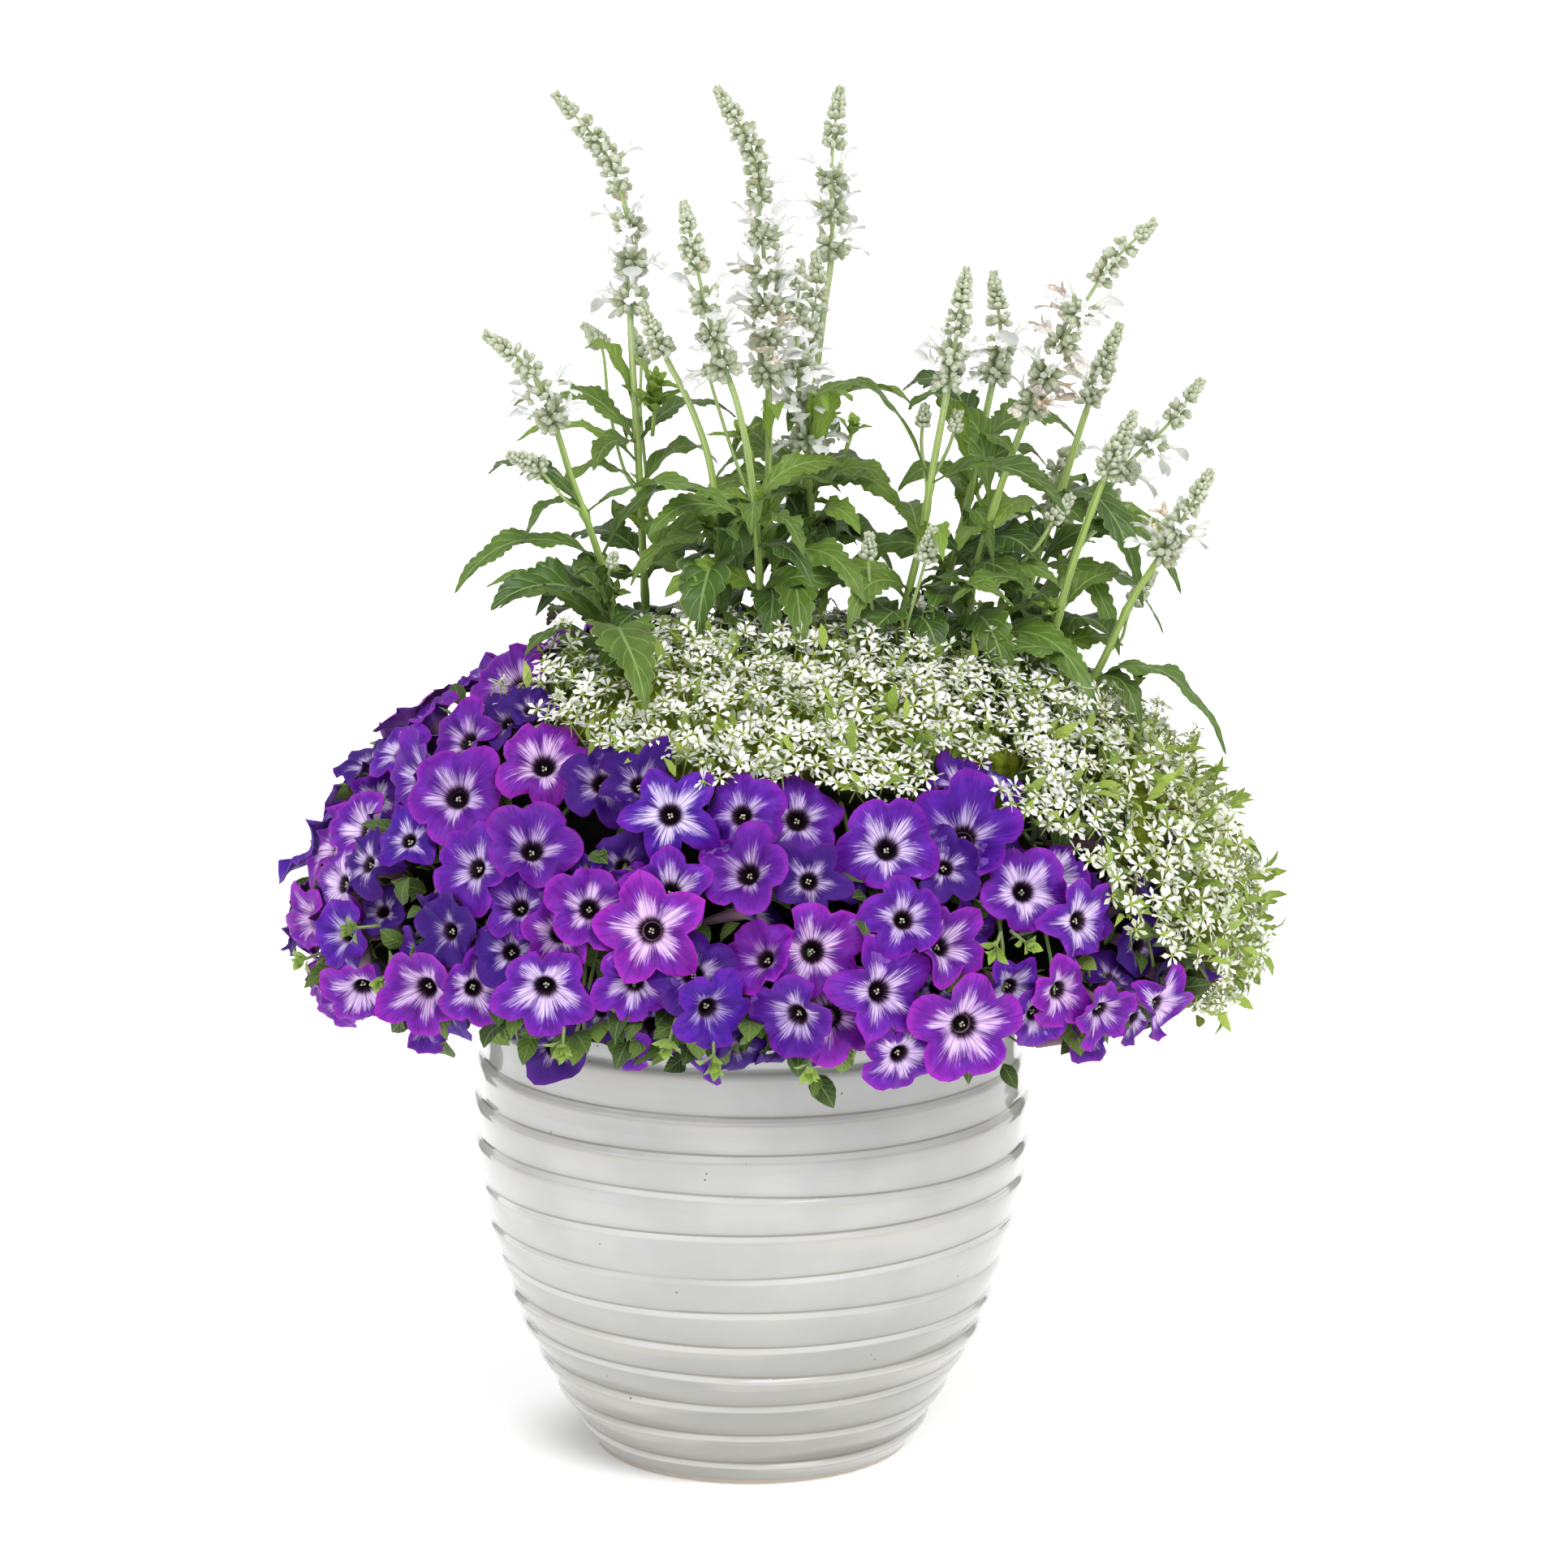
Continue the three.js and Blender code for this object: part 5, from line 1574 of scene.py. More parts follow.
# Other leaves that the photograph shows: stem, height where the stalk leaves it, half width, youth, tip
MORE_LEAVES = [
    ("left_middle", 590, 9, 0.15, (32, -70, 579)), ("left_middle", 592, 8, 0.15, (-63, -60, 589)),
    ("left_bud", 560, 17, 0.0, (-34, -58, 512)), ("left_bud", 575, 9, 0.3, (-74, -38, 555)),
    ("left_low", 528, 12, 0.05, (-108, -34, 562)), ("left_low", 515, 7, 0.45, (-164, 0, 548)),
    ("left_low", 508, 8, 0.35, (-158, 26, 530)), ("left_low", 505, 8, 0.1, (-138, -62, 517)),
    ("left_low", 498, 9, 0.15, (-120, -78, 498)), ("left_low", 604, 6, 0.2, (-142, -24, 622)),
    ("left_low", 600, 6, 0.1, (-138, -46, 585)), ("centre_tall", 552, 15, 0.1, (-44, 18, 560)),
    ("centre_tall", 590, 13, 0.0, (-18, -26, 532)), ("centre_tall", 540, 12, 0.0, (12, -60, 520)),
    ("right_middle", 560, 13, 0.0, (2, 30, 604)), ("right_middle", 548, 14, 0.05, (14, -46, 566)),
    ("right_middle", 545, 15, 0.2, (30, -72, 520)), ("right_front", 530, 15, 0.05, (66, -58, 510)),
    ("right_front", 528, 13, 0.0, (116, -56, 506)), ("right_front", 545, 9, 0.25, (160, -56, 546)),
    ("right_front", 548, 9, 0.3, (58, -66, 532)), ("right_back", 560, 17, 0.0, (176, -4, 566)),
    ("right_back", 548, 12, 0.1, (170, -30, 548)), ("right_lean", 520, 13, 0.1, (158, -62, 488)),
    ("right_lean", 505, 11, 0.15, (212, -54, 478)), ("right_lean", 530, 11, 0.1, (110, -42, 540)),
    ("right_arch", 545, 11, 0.2, (228, 2, 504)), ("right_short", 505, 8, 0.45, (232, 26, 506)),
    ("right_low", 490, 8, 0.15, (240, -42, 458)), ("right_lean", 480, 10, 0.05, (206, -66, 468)),
    ("right_back", 605, 8, 0.3, (96, -10, 660)), ("right_arch", 560, 13, 0.15, (205, 20, 585)),
    ("right_lean", 590, 9, 0.2, (126, 60, 640)), ("right_middle", 610, 8, 0.45, (62, -2, 664)),
    ("right_middle", 600, 9, 0.3, (86, 10, 612)), ("left_tall", 620, 6, 0.5, (-146, 34, 634)),
    ("left_tall", 655, 7, 0.55, (-104, 46, 690)), ("right_tall", 640, 8, 0.4, (100, 50, 655)),
    ("right_tall", 560, 13, 0.05, (84, 96, 560)), ("left_tall", 560, 13, 0.0, (-116, 92, 560)),
    ("left_tall", 545, 12, 0.1, (-22, 62, 560)), ("right_far", 530, 12, 0.1, (262, 96, 500)),
    ("right_far", 545, 12, 0.0, (150, 82, 560)), ("right_arch", 520, 13, 0.0, (150, 116, 540)),
]
# The heights up to which these stems carry more leaves
UPPER_NODES = {"left_tall": 640, "centre_tall": 650, "right_tall": 640, "left_middle": 620,
               "right_middle": 640, "left_bud": 600, "right_front": 585, "right_back": 640,
               "right_lean": 600, "right_arch": 600, "right_far": 590}
# Young leafy shoots: foot, the way they point, and their size
SHOOTS = [((-60, 33, 655), (0.1, -0.3, 1), 27), ((-62, 34, 668), (0.6, -0.2, 0.8), 23),
          ((-3, 4, 640), (-0.3, -0.2, 1), 21), ((40, 66, 640), (0.2, -0.3, 1), 20),
          ((62, 34, 640), (0.3, -0.1, 1), 20), ((155, 6, 528), (0.1, -0.5, 1), 19),
          ((187, 2, 532), (0, -0.4, 1), 17), ((240, 0, 492), (0.1, -0.6, 0.9), 18),
          ((-86, -6, 545), (0.5, -0.6, 0.7), 17), ((-90, -12, 560), (0.4, -0.5, 0.9), 15),
          ((-28, -6, 585), (0.4, -0.4, 0.9), 16), ((-6, -22, 596), (0.8, -0.4, 0.6), 15),
          ((86, -6, 505), (0.1, -0.8, 0.7), 17), ((134, 24, 540), (-0.3, -0.7, 0.7), 16),
          ((206, 92, 560), (0.5, 0.4, 0.9), 19), ((36, 66, 590), (0.3, 0.8, 0.7), 19),
          ((-66, 34, 590), (-0.6, 0.5, 0.8), 19), ((140, 50, 600), (-0.3, 0.8, 0.7), 18)]
# Side heads: the way from the stem to the tip, and how much of it flowers, in mm
SIDE_HEADS = [
    ([(33, 65, 585), (29, 62, 600), (30, 60, 675), (40, 70, 720), (40, 80, 745)], 72),
    ([(168, 94, 480), (172, 95, 510), (195, 110, 570), (195, 125, 605), (210, 140, 615)], 62),
    ([(-103, -17, 598), (-112, -32, 607), (-130, -45, 630), (-145, -60, 640)], 30),
    ([(-68, 32, 598), (-80, 60, 612), (-90, 80, 650), (-95, 95, 685), (-105, 110, 695)], 24),
    ([(-66, 32, 592), (-66, 50, 606), (-70, 70, 650), (-70, 80, 680), (-75, 90, 695)], 26),
    ([(88, -10, 488), (90, -22, 498), (95, -40, 532), (105, -50, 570), (110, -60, 595)], 27),
    ([(90, -12, 500), (80, -24, 512), (72, -38, 560), (72, -44, 588)], 17),
    ([(212, -8, 494), (218, 8, 503), (230, 20, 512), (235, 25, 528), (250, 30, 552)], 26),
    ([(108, -18, 612), (104, -18, 640), (106, -20, 664)], 15),
    ([(108, -18, 614), (121, -20, 640), (126, -22, 660)], 14),
    ([(160, 8, 555), (176, 0, 574), (186, -6, 592), (196, -8, 606)], 22),
    ([(0, 0, 600), (-14, 0, 640), (-26, 2, 680), (-28, 4, 690)], 14),
    ([(-84, -8, 548), (-88, -26, 556), (-84, -36, 575)], 12),
]


def through(points, step):
    """A centripetal Catmull-Rom curve through points, as evenly spaced points."""
    p = np.asarray(points, float)
    p = np.concatenate([[2 * p[0] - p[1]], p, [2 * p[-1] - p[-2]]])
    line = []
    for a, b, c, d in zip(p, p[1:], p[2:], p[3:]):
        gaps = [max(float(((v - u) ** 2).sum()) ** 0.25, 1e-4) for u, v in ((a, b), (b, c), (c, d))]
        first = ((b - a) / gaps[0] - (c - a) / (gaps[0] + gaps[1]) + (c - b) / gaps[1]) * gaps[1]
        last = ((c - b) / gaps[1] - (d - b) / (gaps[1] + gaps[2]) + (d - c) / gaps[2]) * gaps[1]
        t = np.linspace(0, 1, 40, endpoint=False)[:, None]
        line.append(b + first * t + (3 * (c - b) - 2 * first - last) * t ** 2
                    + (2 * (b - c) + first + last) * t ** 3)
    line = np.concatenate(line + [p[-2:-1]])
    run = np.concatenate([[0], np.cumsum(np.linalg.norm(np.diff(line, axis=0), axis=1))])
    even = np.linspace(0, run[-1], max(4, int(run[-1] / step)))
    return np.stack([np.interp(even, run, line[:, k]) for k in range(3)], 1), run[-1]


def stem_line(name):
    (x, y), bloom, route = SAGE_STEMS[name]
    start = soil_face(math.hypot(x, y)) + STAND_OFF + 0.11
    line, length = through([(x, y, start), (x, y, start + 14)] + route, 2.0)
    return line, 1 - bloom / length


def stem_at(name, height):
    """Centre and radius of a stem at a height."""
    line, share = stem_line(name)
    i = int(np.argmax(line[:, 2] >= height))
    return line[i], STEM_FOOT + (STEM_TOP - STEM_FOOT) * min(i / len(line) / share, 1)


def calyx_shape(rand, fat):
    """A calyx of length 1 along +Z, ribbed, with its mouth at the end."""
    heights = np.array([0.0, 0.16, 0.5, 0.84, 1.0])
    radii = np.array([0.11, 0.22, 0.3, 0.28, 0.17]) * fat
    a = corners(6)
    rings = np.stack([radii[:, None] * np.cos(a) * 1.1, radii[:, None] * np.sin(a) * 0.92,
                      heights[:, None] + 0.05 * np.cos(3 * a)[None] * heights[:, None] ** 4], -1)
    rings[:, :, 0] += (0.1 * heights ** 2)[:, None]
    points, grid = loft(rings, None, np.array([0.1, 0, 0.86]))
    spots = np.zeros((len(points), 3))
    spots[:, 2] = np.concatenate([np.repeat(heights, 6), [0, 1]])
    return points, [grid], spots


def bud_shape(fat):
    """A closed calyx of length 1 along +Z."""
    heights = np.array([0.0, 0.3, 0.7, 0.95])
    radii = np.array([0.14, 0.34, 0.36, 0.18]) * fat
    points, grid = loft(circle(radii[:, None], corners(5), heights[:, None]), None, np.array([0, 0, 1.05]))
    spots = np.zeros((len(points), 3))
    spots[:, 2] = np.concatenate([np.repeat(heights, 5), [0, 1]])
    return points, [grid], spots


def floret_shape(rand):
    """A two-lipped floret that runs out along +Z from the calyx mouth, with +Y up. In mm."""
    heights = np.array([-2.5, 1.5, 4.0, 5.4])[:, None]
    radii = np.array([1.0, 1.15, 1.7, 1.9])[:, None]
    throat, grid = loft(circle(radii, corners(6), heights), None, np.array([0, 0, 4.2]))
    spots = np.zeros((len(throat), 3))
    spots[:, 0] = np.concatenate([np.repeat([0, 0.15, 0.3, 0.35], 6), [0, 0.2]])
    parts = [(throat, [grid], spots)]
    # The hood, narrow and arched
    t = np.linspace(0, 1, 5)
    rise = rand.uniform(1.0, 3.4)
    hood = np.stack([np.zeros(5), 1.2 + rise * t, 4.2 + rand.uniform(4.5, 7) * t - 1.4 * t ** 2], 1)
    halves = np.array([1.3, 1.8, 1.7, 1.2, 0.3])
    parts.append(leaf_shape(hood, halves, np.array([0, 1.0, 0.2]), 5, 0.35, -0.6, -0.2))
    # The lower lip, broad, notched and wavy
    rows, columns = 6, 7
    t, u = np.linspace(0, 1, rows)[:, None], np.linspace(-1, 1, columns)[None]
    wide = rand.uniform(4.8, 6.6)
    length = rand.uniform(7.5, 10.5)
    half = wide * np.sin(math.pi * (0.13 + 0.7 * t ** 0.85)) ** 1.1
    notch = 1 - 0.2 * t ** 2 * (1 - np.abs(u)) ** 2 - 0.14 * t ** 2 * np.abs(u) ** 2
    x = half * u
    bend = rand.uniform(0.5, 1.35)
    z = 4.4 + length * np.sin(bend * t * notch) / bend
    y = (-1.3 - length * (1 - np.cos(bend * t * notch)) / bend
         + 0.7 * np.sin(2.6 * math.pi * u + rand.uniform(0, TURN)) * t - 1.2 * u ** 2 * t)
    lip = np.stack(np.broadcast_arrays(x, y, z), -1)
    points, grids, side = shell(lip, 0.3, False)
    spots = np.zeros((len(points), 3))
    spots[:rows * columns, 0] = np.repeat(0.35 + 0.65 * t.ravel(), columns)
    spots[:rows * columns, 1] = np.tile(u.ravel(), rows)
    spots[rows * columns:, 0] = np.repeat(0.35 + 0.65 * t.ravel()[1:-1], columns - 2)
    parts.append((points, grids, spots))
    return joined(parts)


SPIKE_DICE = dice(51)
CALYXES = [calyx_shape(SPIKE_DICE, fat) for fat in (1.0, 1.12, 0.92, 1.05)]
LONG_CALYXES = [calyx_shape(SPIKE_DICE, fat) for fat in (0.62, 0.7)]
BUDS = [bud_shape(fat) for fat in (0.92, 1.05)]
FLORETS = [floret_shape(SPIKE_DICE) for _ in range(8)]


def whorl(heap, rand, centre, axis, tiers, inner, length, shapes, age=0.0):
    """Calyces round a stem: tiers of (count, lift in degrees)."""
    side = unit(np.cross(axis, [0.3, -0.2, 0.9] if abs(axis[2]) < 0.8 else [0.9, 0.3, 0]))
    over = np.cross(axis, side)
    ends = []
    for count, lift in tiers:
        turn = rand.uniform(0, TURN)
        a = turn + np.arange(count) / count * TURN + rand.normal(0, 0.16, count)
        lifts = np.radians(lift + rand.normal(0, 7, count))
        out = side * np.cos(a)[:, None] + over * np.sin(a)[:, None]
        z = unit(out * np.cos(lifts)[:, None] + axis * np.sin(lifts)[:, None])
        start = centre + out * inner + axis * (np.sin(lifts) * inner * 1.2)[:, None]
        sizes = length * rand.uniform(0.82, 1.15, count)
        x = unit(np.cross(rand.normal(0, 1, (count, 3)), z))
        frames = rigid(x, z)
        for (shape, grids, spots), at in dealt(rand, shapes, count):
            tints = np.stack([np.where(rand.random(len(at)) < age, rand.uniform(0.3, 1, len(at)), 0),
                              rand.random(len(at)), rand.random(len(at))], 1)
            heap.add_many(copies(shape, start[at], frames[at], sizes[at]), grids, spots, tints, 1)
        ends += list(zip(start, z, sizes))
    return ends


def add_florets(heap, rand, axis, ends, count, age):
    """Florets that come out of long calyces of a whorl."""
    if not ends or not count:
        return
    chosen = rand.choice(len(ends), min(count, len(ends)), replace=False)
    for i in chosen:
        start, z, size = ends[i]
        z = unit(z + axis * 0.25 + rand.normal(0, 0.12, 3))
        long = rand.uniform(8.5, 11)
        x = unit(np.cross(axis, z) + rand.normal(0, 0.3) * np.cross(z, np.cross(axis, z)))
        turned = rigid(x, z)
        shape, grids, spots = LONG_CALYXES[rand.integers(len(LONG_CALYXES))]
        heap.add(one_copy(shape, start, turned, long), grids, spots, (0, 1, rand.random()), 1)
        shape, grids, spots = FLORETS[rand.integers(len(FLORETS))]
        mouth = start + z * long * 0.82
        floret = one_copy(shape, mouth, turned, rand.uniform(1.0, 1.35))
        spoiled = float(rand.random() < age) * rand.uniform(0.4, 1)
        heap.add(floret, grids, spots, (spoiled, rand.random(), 0), 2)


def add_spike(heap, rand, line, bloom, florets, age, foot_radius):
    """Axis, whorls and florets of one head. line is the flowering part, from its foot to its tip."""
    run = np.linspace(0, 1, len(line))
    heap.add_tube(line, foot_radius * (1 - 0.62 * run), 8, (0.55, rand.random(), 0))
    at = bloom * 0.03 + min(5.0, bloom * 0.12)
    open_part = 0.52 if bloom > LONG_SPIKE else 0.4 if bloom > SHORT_SPIKE else 0.0
    while at < bloom - 1.0:
        share = at / bloom
        left = bloom - at
        centre = np.array([np.interp(share, run, line[:, k]) for k in range(3)])
        i = int(share * (len(line) - 2))
        axis = unit(line[i + 1] - line[i])
        if share < open_part and left > 40:
            size = 8.0 - 1.2 * share / open_part
            ends = whorl(heap, rand, centre, axis, OPEN_TIERS, 3.4, size, CALYXES, age * 0.5)
            ends = [end for end in ends if end[1] @ axis > -0.25]
            add_florets(heap, rand, axis, ends, rand.integers(*florets), age)
            at += rand.uniform(19, 24) if bloom > LONG_SPIKE else rand.uniform(13, 16)
        elif left > 24:
            size = 6.0 + 1.2 * min(left / 90, 1)
            ends = whorl(heap, rand, centre, axis, [(6, 4), (6, 34)], 2.2, size, CALYXES, age * 0.3)
            if left > 45 and rand.random() < 0.6:
                add_florets(heap, rand, axis, ends, rand.integers(0, 3), age)
            at += rand.uniform(7.6, 9.4) if bloom > SHORT_SPIKE else rand.uniform(5.4, 6.4)
        else:
            small = max(left / 24, 0.1)
            tiers = [(7 if small > 0.3 else 5, 26 + 42 * (1 - small))]
            whorl(heap, rand, centre, axis, tiers, 0.8 + 1.0 * small, 3.5 + 3.0 * small, BUDS)
            at += 1.7 + 2.3 * small


def sage_leaf(heap, rand, stem, tip, half, youth, rows=None, columns=7, twist=None, arch=0.22, tooth=5.8):
    """One leaf, whose stalk starts inside its stem. stem: the centre and radius of the stem there."""
    tip = np.asarray(tip, float)
    centre, radius = stem
    root = centre + unit((tip - centre) * [1, 1, 0]) * (radius - ROOTED)
    reach = (tip - root) * [1, 1, 0]
    level = np.linalg.norm(reach)
    top = root[2] + max(tip[2] - root[2], 0) + arch * level
    one = np.append((root + 0.3 * reach)[:2], top)
    two = np.append((root + 0.75 * reach)[:2], top)
    length = level * 1.15 + 4
    teeth = int(np.clip(round(length / tooth), 5, 17))
    rows = rows or 3 * teeth + 1
    t = np.linspace(0, 1, rows)[:, None]
    path = (1 - t) ** 3 * root + 3 * (1 - t) ** 2 * t * one + 3 * (1 - t) * t ** 2 * two + t ** 3 * tip
    sideways = unit(np.cross(reach, UP)) if level > 1 else np.array([1.0, 0, 0])
    path = path + sideways * (rand.normal(0, 0.05) * level * np.sin(math.pi * t) ** 2)
    t = t[:, 0]
    blade = np.clip((t - 0.1) / 0.9, 0, 1)
    shape = np.sin(math.pi * blade ** 0.78) ** 0.82 * (1 - 0.18 * blade)
    width = 1.5 * (1 - smooth(0.1, 0.22, t)) + half * shape
    width[-1] = 0.15
    twist = rand.normal(0, 0.28) if twist is None else twist
    over = UP + sideways * twist + np.array([0, -0.35, 0])
    chance = rand.random()
    cup, droop = rand.uniform(0.1, 0.5), rand.uniform(0.02, 0.3)
    points, grids, spots = leaf_shape(path, width, over, columns, 0.75, cup, droop, min(3.4, half * 0.24),
                                      teeth, 0.22, rand, 0.5, 9, chance)
    heap.add(points, grids, spots, (youth, chance, share_of(rand, 0.3, 0.3)), 0)


def leafy_shoot(heap, rand, foot, ahead, size, count):
    """A cluster of young sage leaves."""
    ahead = unit(np.asarray(ahead, float))
    foot = np.asarray(foot, float)
    stem = foot + ahead * np.linspace(-size * 0.7, size * 0.35, 6)[:, None]
    heap.add_tube(stem, [1.3, 1.5, 1.5, 1.4, 1.2, 0.8], 6, (0.1, rand.random(), 0), 1)
    side = unit(np.cross(ahead, [0.2, 0.9, 0.1]))
    other = np.cross(ahead, side)
    for k in range(count):
        share = k / count
        a = k * math.pi / 2 * 1.04 + (k // 2) * 0.3 + rand.uniform(-0.2, 0.2)
        out = side * math.cos(a) + other * math.sin(a)
        start = foot + ahead * size * (0.4 * share - 0.15)
        length = size * (1.15 - 0.75 * share) * rand.uniform(0.8, 1.15)
        t = np.linspace(0, 1, 13)
        path = (start + ahead * (length * (0.75 * t + 0.1 * share * t - 0.28 * t ** 2))[:, None]
                + out * (length * (0.25 * t + (0.6 - 0.5 * share) * t ** 1.6))[:, None])
        width = length * 0.19 * np.sin(math.pi * np.clip(t, 0.04, 1) ** 0.8) ** 0.8 + 0.5 * (1 - t)
        width[-1] = 0.1
        cup = rand.uniform(0.2, 0.5)
        points, grids, spots = leaf_shape(path, width, ahead - out * 0.6, 5, 0.6, cup, 0.1, 0.7, 4, 0.14,
                                          rand, 0.15, 6, 0.0)
        heap.add(points, grids, spots, (rand.uniform(0.55, 1.0), rand.random(), 0.0), 0)


def leaf_tip(rand, centre, turn, sway, lengths, shrink, rises):
    """A random tip for a leaf that leaves its stem's centre at a turn, and how far out it lies."""
    a = turn + rand.uniform(-sway, sway)
    length = rand.uniform(*lengths) * shrink
    return centre + [length * math.cos(a), length * math.sin(a), rand.uniform(*rises)], length


def make_sage_stems():
    """A stalk and a spike for each stem."""
    nodes = {name: [at for stem, at, *_ in LEAF_PAIRS.values() if stem == name] for name in SAGE_STEMS}
    for name, (_, bloom, _) in SAGE_STEMS.items():
        rand = named_dice(name, 500)
        line, share = stem_line(name)
        last = int(share * len(line))
        stalk = line[:last + 1]
        stalk = stalk[np.unique(np.linspace(0, last, 56).astype(int))]
        run = np.linspace(0, 1, len(stalk))
        radii = STEM_FOOT + (STEM_TOP - STEM_FOOT) * run
        for at in nodes[name] + list(range(350, 640, 62)):
            radii = radii + 0.75 * np.exp(-((stalk[:, 2] - at) / 3.2) ** 2)
        heap = Heap()
        points, grids, spots = tube(stalk, radii, 12, 4, 0.09)
        meal = np.zeros((len(points), 3))
        meal[:, 0] = 0.75 * smooth(590, 760, points[:, 2]) + 0.1
        meal[:, 1] = rand.random()
        heap.add(points, grids, spots, meal)
        place(heap, "stalk_" + name, "sage_stem", [SAGE_STEM], "sage_stem_" + name)
        heap = Heap()
        add_spike(heap, rand, line[last - 1:], bloom, OPEN_FLORETS[name], WORN.get(name, 0.04), STEM_TOP)
        place(heap, "spike_" + name, "sage_flower", [SAGE_STEM, CALYX, FLORET], "sage_spike_" + name)


def make_leaf_pairs():
    for name, (stem, height, halves, *tips) in LEAF_PAIRS.items():
        heap, rand = Heap(), named_dice(name, 900)
        for half, tip in zip(halves, tips):
            sage_leaf(heap, rand, stem_at(stem, height), tip, half * 1.1, share_of(rand, 0.1, 0.1, 0, 0.4),
                      twist=0.0 if half > 20 else None)
        place(heap, "leaf_pair_" + name, "sage_leaf", [SAGE_LEAF], "sage_leaves_" + name)


def make_other_leaves():
    """The leaves and shoots that the photograph shows, and leaves all round the stems."""
    heap, rand = Heap(), dice(61)
    for stem, height, half, youth, tip in MORE_LEAVES:
        sage_leaf(heap, rand, stem_at(stem, height), tip, half * 1.25, youth, columns=5, tooth=6.6)
    for foot, ahead, size in SHOOTS:
        leafy_shoot(heap, rand, foot, ahead, size, 8)
    place(heap, "sage_leaves_upper", "sage_leaf", [SAGE_LEAF, SAGE_STEM])

    heap = Heap()
    for name in SAGE_STEMS:
        for k, height in enumerate(range(427, 545, 30)):
            centre, radius = stem_at(name, height + rand.uniform(-6, 6))
            for turn in (0, math.pi):
                shrink = 1.0 if height < 500 else 0.85
                tip, _ = leaf_tip(rand, centre, k * math.pi / 2 + turn, 0.5, (48, 84), shrink, (-22, 20))
                r = math.hypot(tip[0], tip[1])
                if tip[0] > 150 and tip[1] < -30 or r > 225:
                    continue
                sage_leaf(heap, rand, (centre, radius), tip, rand.uniform(13, 19),
                          share_of(rand, 0.05, 0.12, 0, 0.5), rows=17, columns=5, tooth=9)
    for name, highest in UPPER_NODES.items():
        for k, height in enumerate(range(548, highest, 27)):
            centre, radius = stem_at(name, height + rand.uniform(-6, 6))
            share = (height - 548) / 110
            for turn in (0, math.pi):
                tip, length = leaf_tip(rand, centre, k * math.pi / 2 + turn, 0.6, (46, 76), 1 - 0.35 * share,
                                       (-26, 24))
                level = unit((tip - centre) * [1, 1, 0])
                sage_leaf(heap, rand, (centre, radius), tip, length * rand.uniform(0.14, 0.24),
                          share_of(rand, 0.12 + 0.4 * share, 0.2, 0, 0.9), rows=19, columns=5,
                          arch=rand.uniform(0.12, 0.45), tooth=8)
            if rand.random() < 0.5:
                leafy_shoot(heap, rand, centre + level * radius, level * 0.6 + UP, rand.uniform(13, 19), 5)
    place(heap, "sage_leaves_lower", "sage_leaf", [SAGE_LEAF, SAGE_STEM])


def make_side_heads():
    heap, rand = Heap(), dice(71)
    for route, bloom in SIDE_HEADS:
        line, length = through(route, 1.5)
        first = int((1 - bloom / length) * len(line))
        radii = np.linspace(1.25, 1.05, first + 1)
        heap.add_tube(line[:first + 1], radii, 8, (0.35, rand.random(), 0), 0, 4, 0.06)
        add_spike(heap, rand, line[first - 1:], bloom, (1, 4), 0.15, 1.05)
    place(heap, "side_heads", "sage_flower", [SAGE_STEM, CALYX, FLORET])


# Floor, lights and camera

def make_floor():
    """A pale floor, wide enough to fill the picture. It glows evenly but faintly, except in a disc just left
    of the pot's foot, where its glow drops away as a painted shadow.
    """
    radius, sides = 40, 64
    mesh = bpy.data.meshes.new("floor")
    rim = [(radius * math.cos(turn), radius * math.sin(turn), 0.0) for turn in corners(sides)]
    mesh.from_pydata(rim, [], [tuple(range(sides))])
    s = Shade("floor", Roughness=1.0, Specular_IOR_Level=0.0, Emission_Color=tone(255, 255, 255))
    # Painted shadow: the glow drops to almost nothing within 5 cm of a point 45 mm left of the middle, and
    # comes back by 12.5 cm
    x, y, _ = s.node("SeparateXYZ", {0: s.position()}).outputs[:3]
    across = s.sum(x, 0.045)
    away = s.math("SQRT", s.sum(s.times(across, across), s.times(y, y)))
    s.put(s.shader.inputs["Emission Strength"], s.sum(0.02, s.times(s.step(away, 0.05, 0.125), 0.4)))
    s.finish(tone(250, 250, 250))
    mesh.materials.append(s.material)
    floor = bpy.data.objects.new("floor", mesh)
    bpy.context.scene.collection.objects.link(floor)


def aimed(name, data, place_at, look_at):
    """A light or a card at a place, turned to look at a point."""
    made = bpy.data.objects.new(name, data)
    made.location = place_at
    made.rotation_euler = (Vector(look_at) - Vector(place_at)).to_track_quat("-Z", "Y").to_euler()
    bpy.context.scene.collection.objects.link(made)
    return made


def make_softbox(name, place_at, look_at, size, watts):
    data = bpy.data.lights.new(name, "AREA")
    data.shape = "RECTANGLE"
    data.size, data.size_y = size
    data.energy = watts
    aimed(name, data, place_at, look_at)


def make_sun(name, place_at, strength, width):
    """A distant light, width degrees across, that shines from a place to the pot."""
    data = bpy.data.lights.new(name, "SUN")
    data.energy = strength
    data.angle = math.radians(width)
    aimed(name, data, place_at, (0, 0, 0.3))


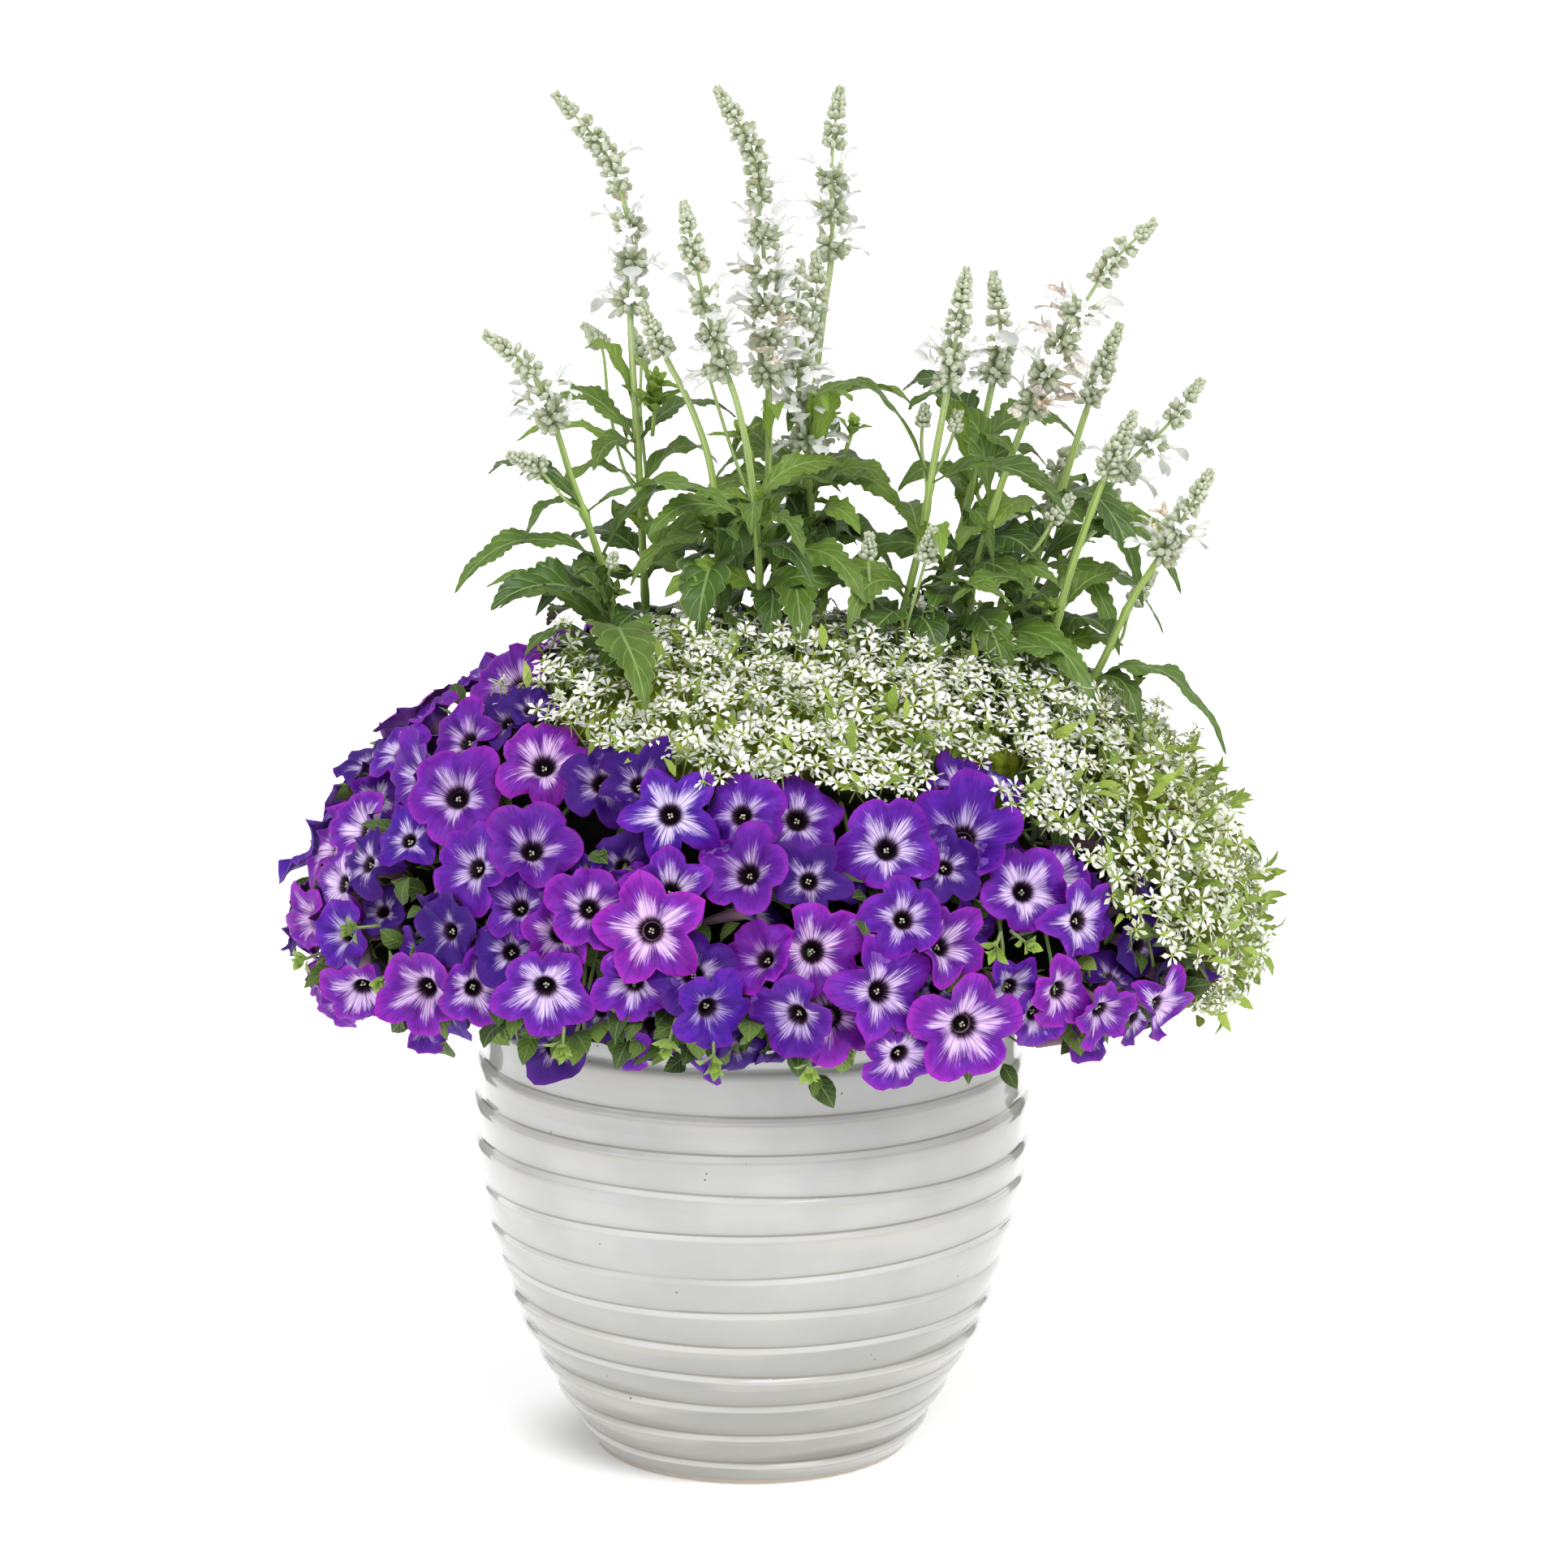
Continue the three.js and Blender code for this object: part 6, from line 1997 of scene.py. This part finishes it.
def make_flag(name, place_at, size):
    """A dark card that stands upright and faces the pot. Only the glaze's reflections show it."""
    wide, high = size[0] / 2, size[1] / 2
    mesh = bpy.data.meshes.new(name)
    edges = [(-wide, -high, 0), (wide, -high, 0), (wide, high, 0), (-wide, high, 0)]
    mesh.from_pydata(edges, [], [(0, 1, 2, 3)])
    s = Shade(name, Roughness=1.0, Specular_IOR_Level=0.0)
    s.finish(tone(36, 36, 36))
    mesh.materials.append(s.material)
    flag = aimed(name, mesh, place_at, (0, 0, place_at[2]))
    flag.visible_camera = flag.visible_shadow = flag.visible_diffuse = False


def make_camera():
    data = bpy.data.cameras.new("camera")
    data.sensor_width = 36
    data.lens = 36 * FOCAL / FRAME_SIDE
    data.clip_end = 100
    camera = bpy.data.objects.new("camera", data)
    camera.location = Vector(EYE * MM)
    camera.rotation_euler = (math.pi / 2 - PITCH, 0, 0)
    bpy.context.scene.collection.objects.link(camera)
    bpy.context.scene.camera = camera


make_pot()
make_soil()
blossoms = make_petunias()
for side in ("left", "front", "right", "back"):
    make_petunia_foliage("petunia_foliage_" + side, blossoms)
make_euphorbia("euphorbia_foliage_front", front_euphorbia, 5.8, -0.5, 0.4, blossoms)
make_euphorbia("euphorbia_foliage_right", right_euphorbia, 7.6, -0.1, 0.7, blossoms)
make_sage_stems()
make_leaf_pairs()
make_other_leaves()
make_side_heads()
make_floor()
make_camera()
world = bpy.data.worlds.new("studio")
world.use_nodes = True
world.node_tree.nodes["Background"].inputs["Color"].default_value = (0.995, 0.995, 1.0, 1)
world.node_tree.nodes["Background"].inputs["Strength"].default_value = 0.52
bpy.context.scene.world = world
make_sun("key", (0.75, -1.4, 2.4), 1.6, 40)
make_sun("fill", (-1.3, -1.5, 1.5), 0.75, 50)
for side, name in ((-1, "left"), (1, "right")):
    make_softbox(name + "_softbox", (1.3 * side, 0.75, 0.75), (0, 0, 0.3), (0.6, 1.5), 1.9)
    make_flag(name + "_flag", (0.65 * side, 0.55, 0.45), (0.24, 0.9))
bpy.context.scene.view_settings.view_transform = "Standard"
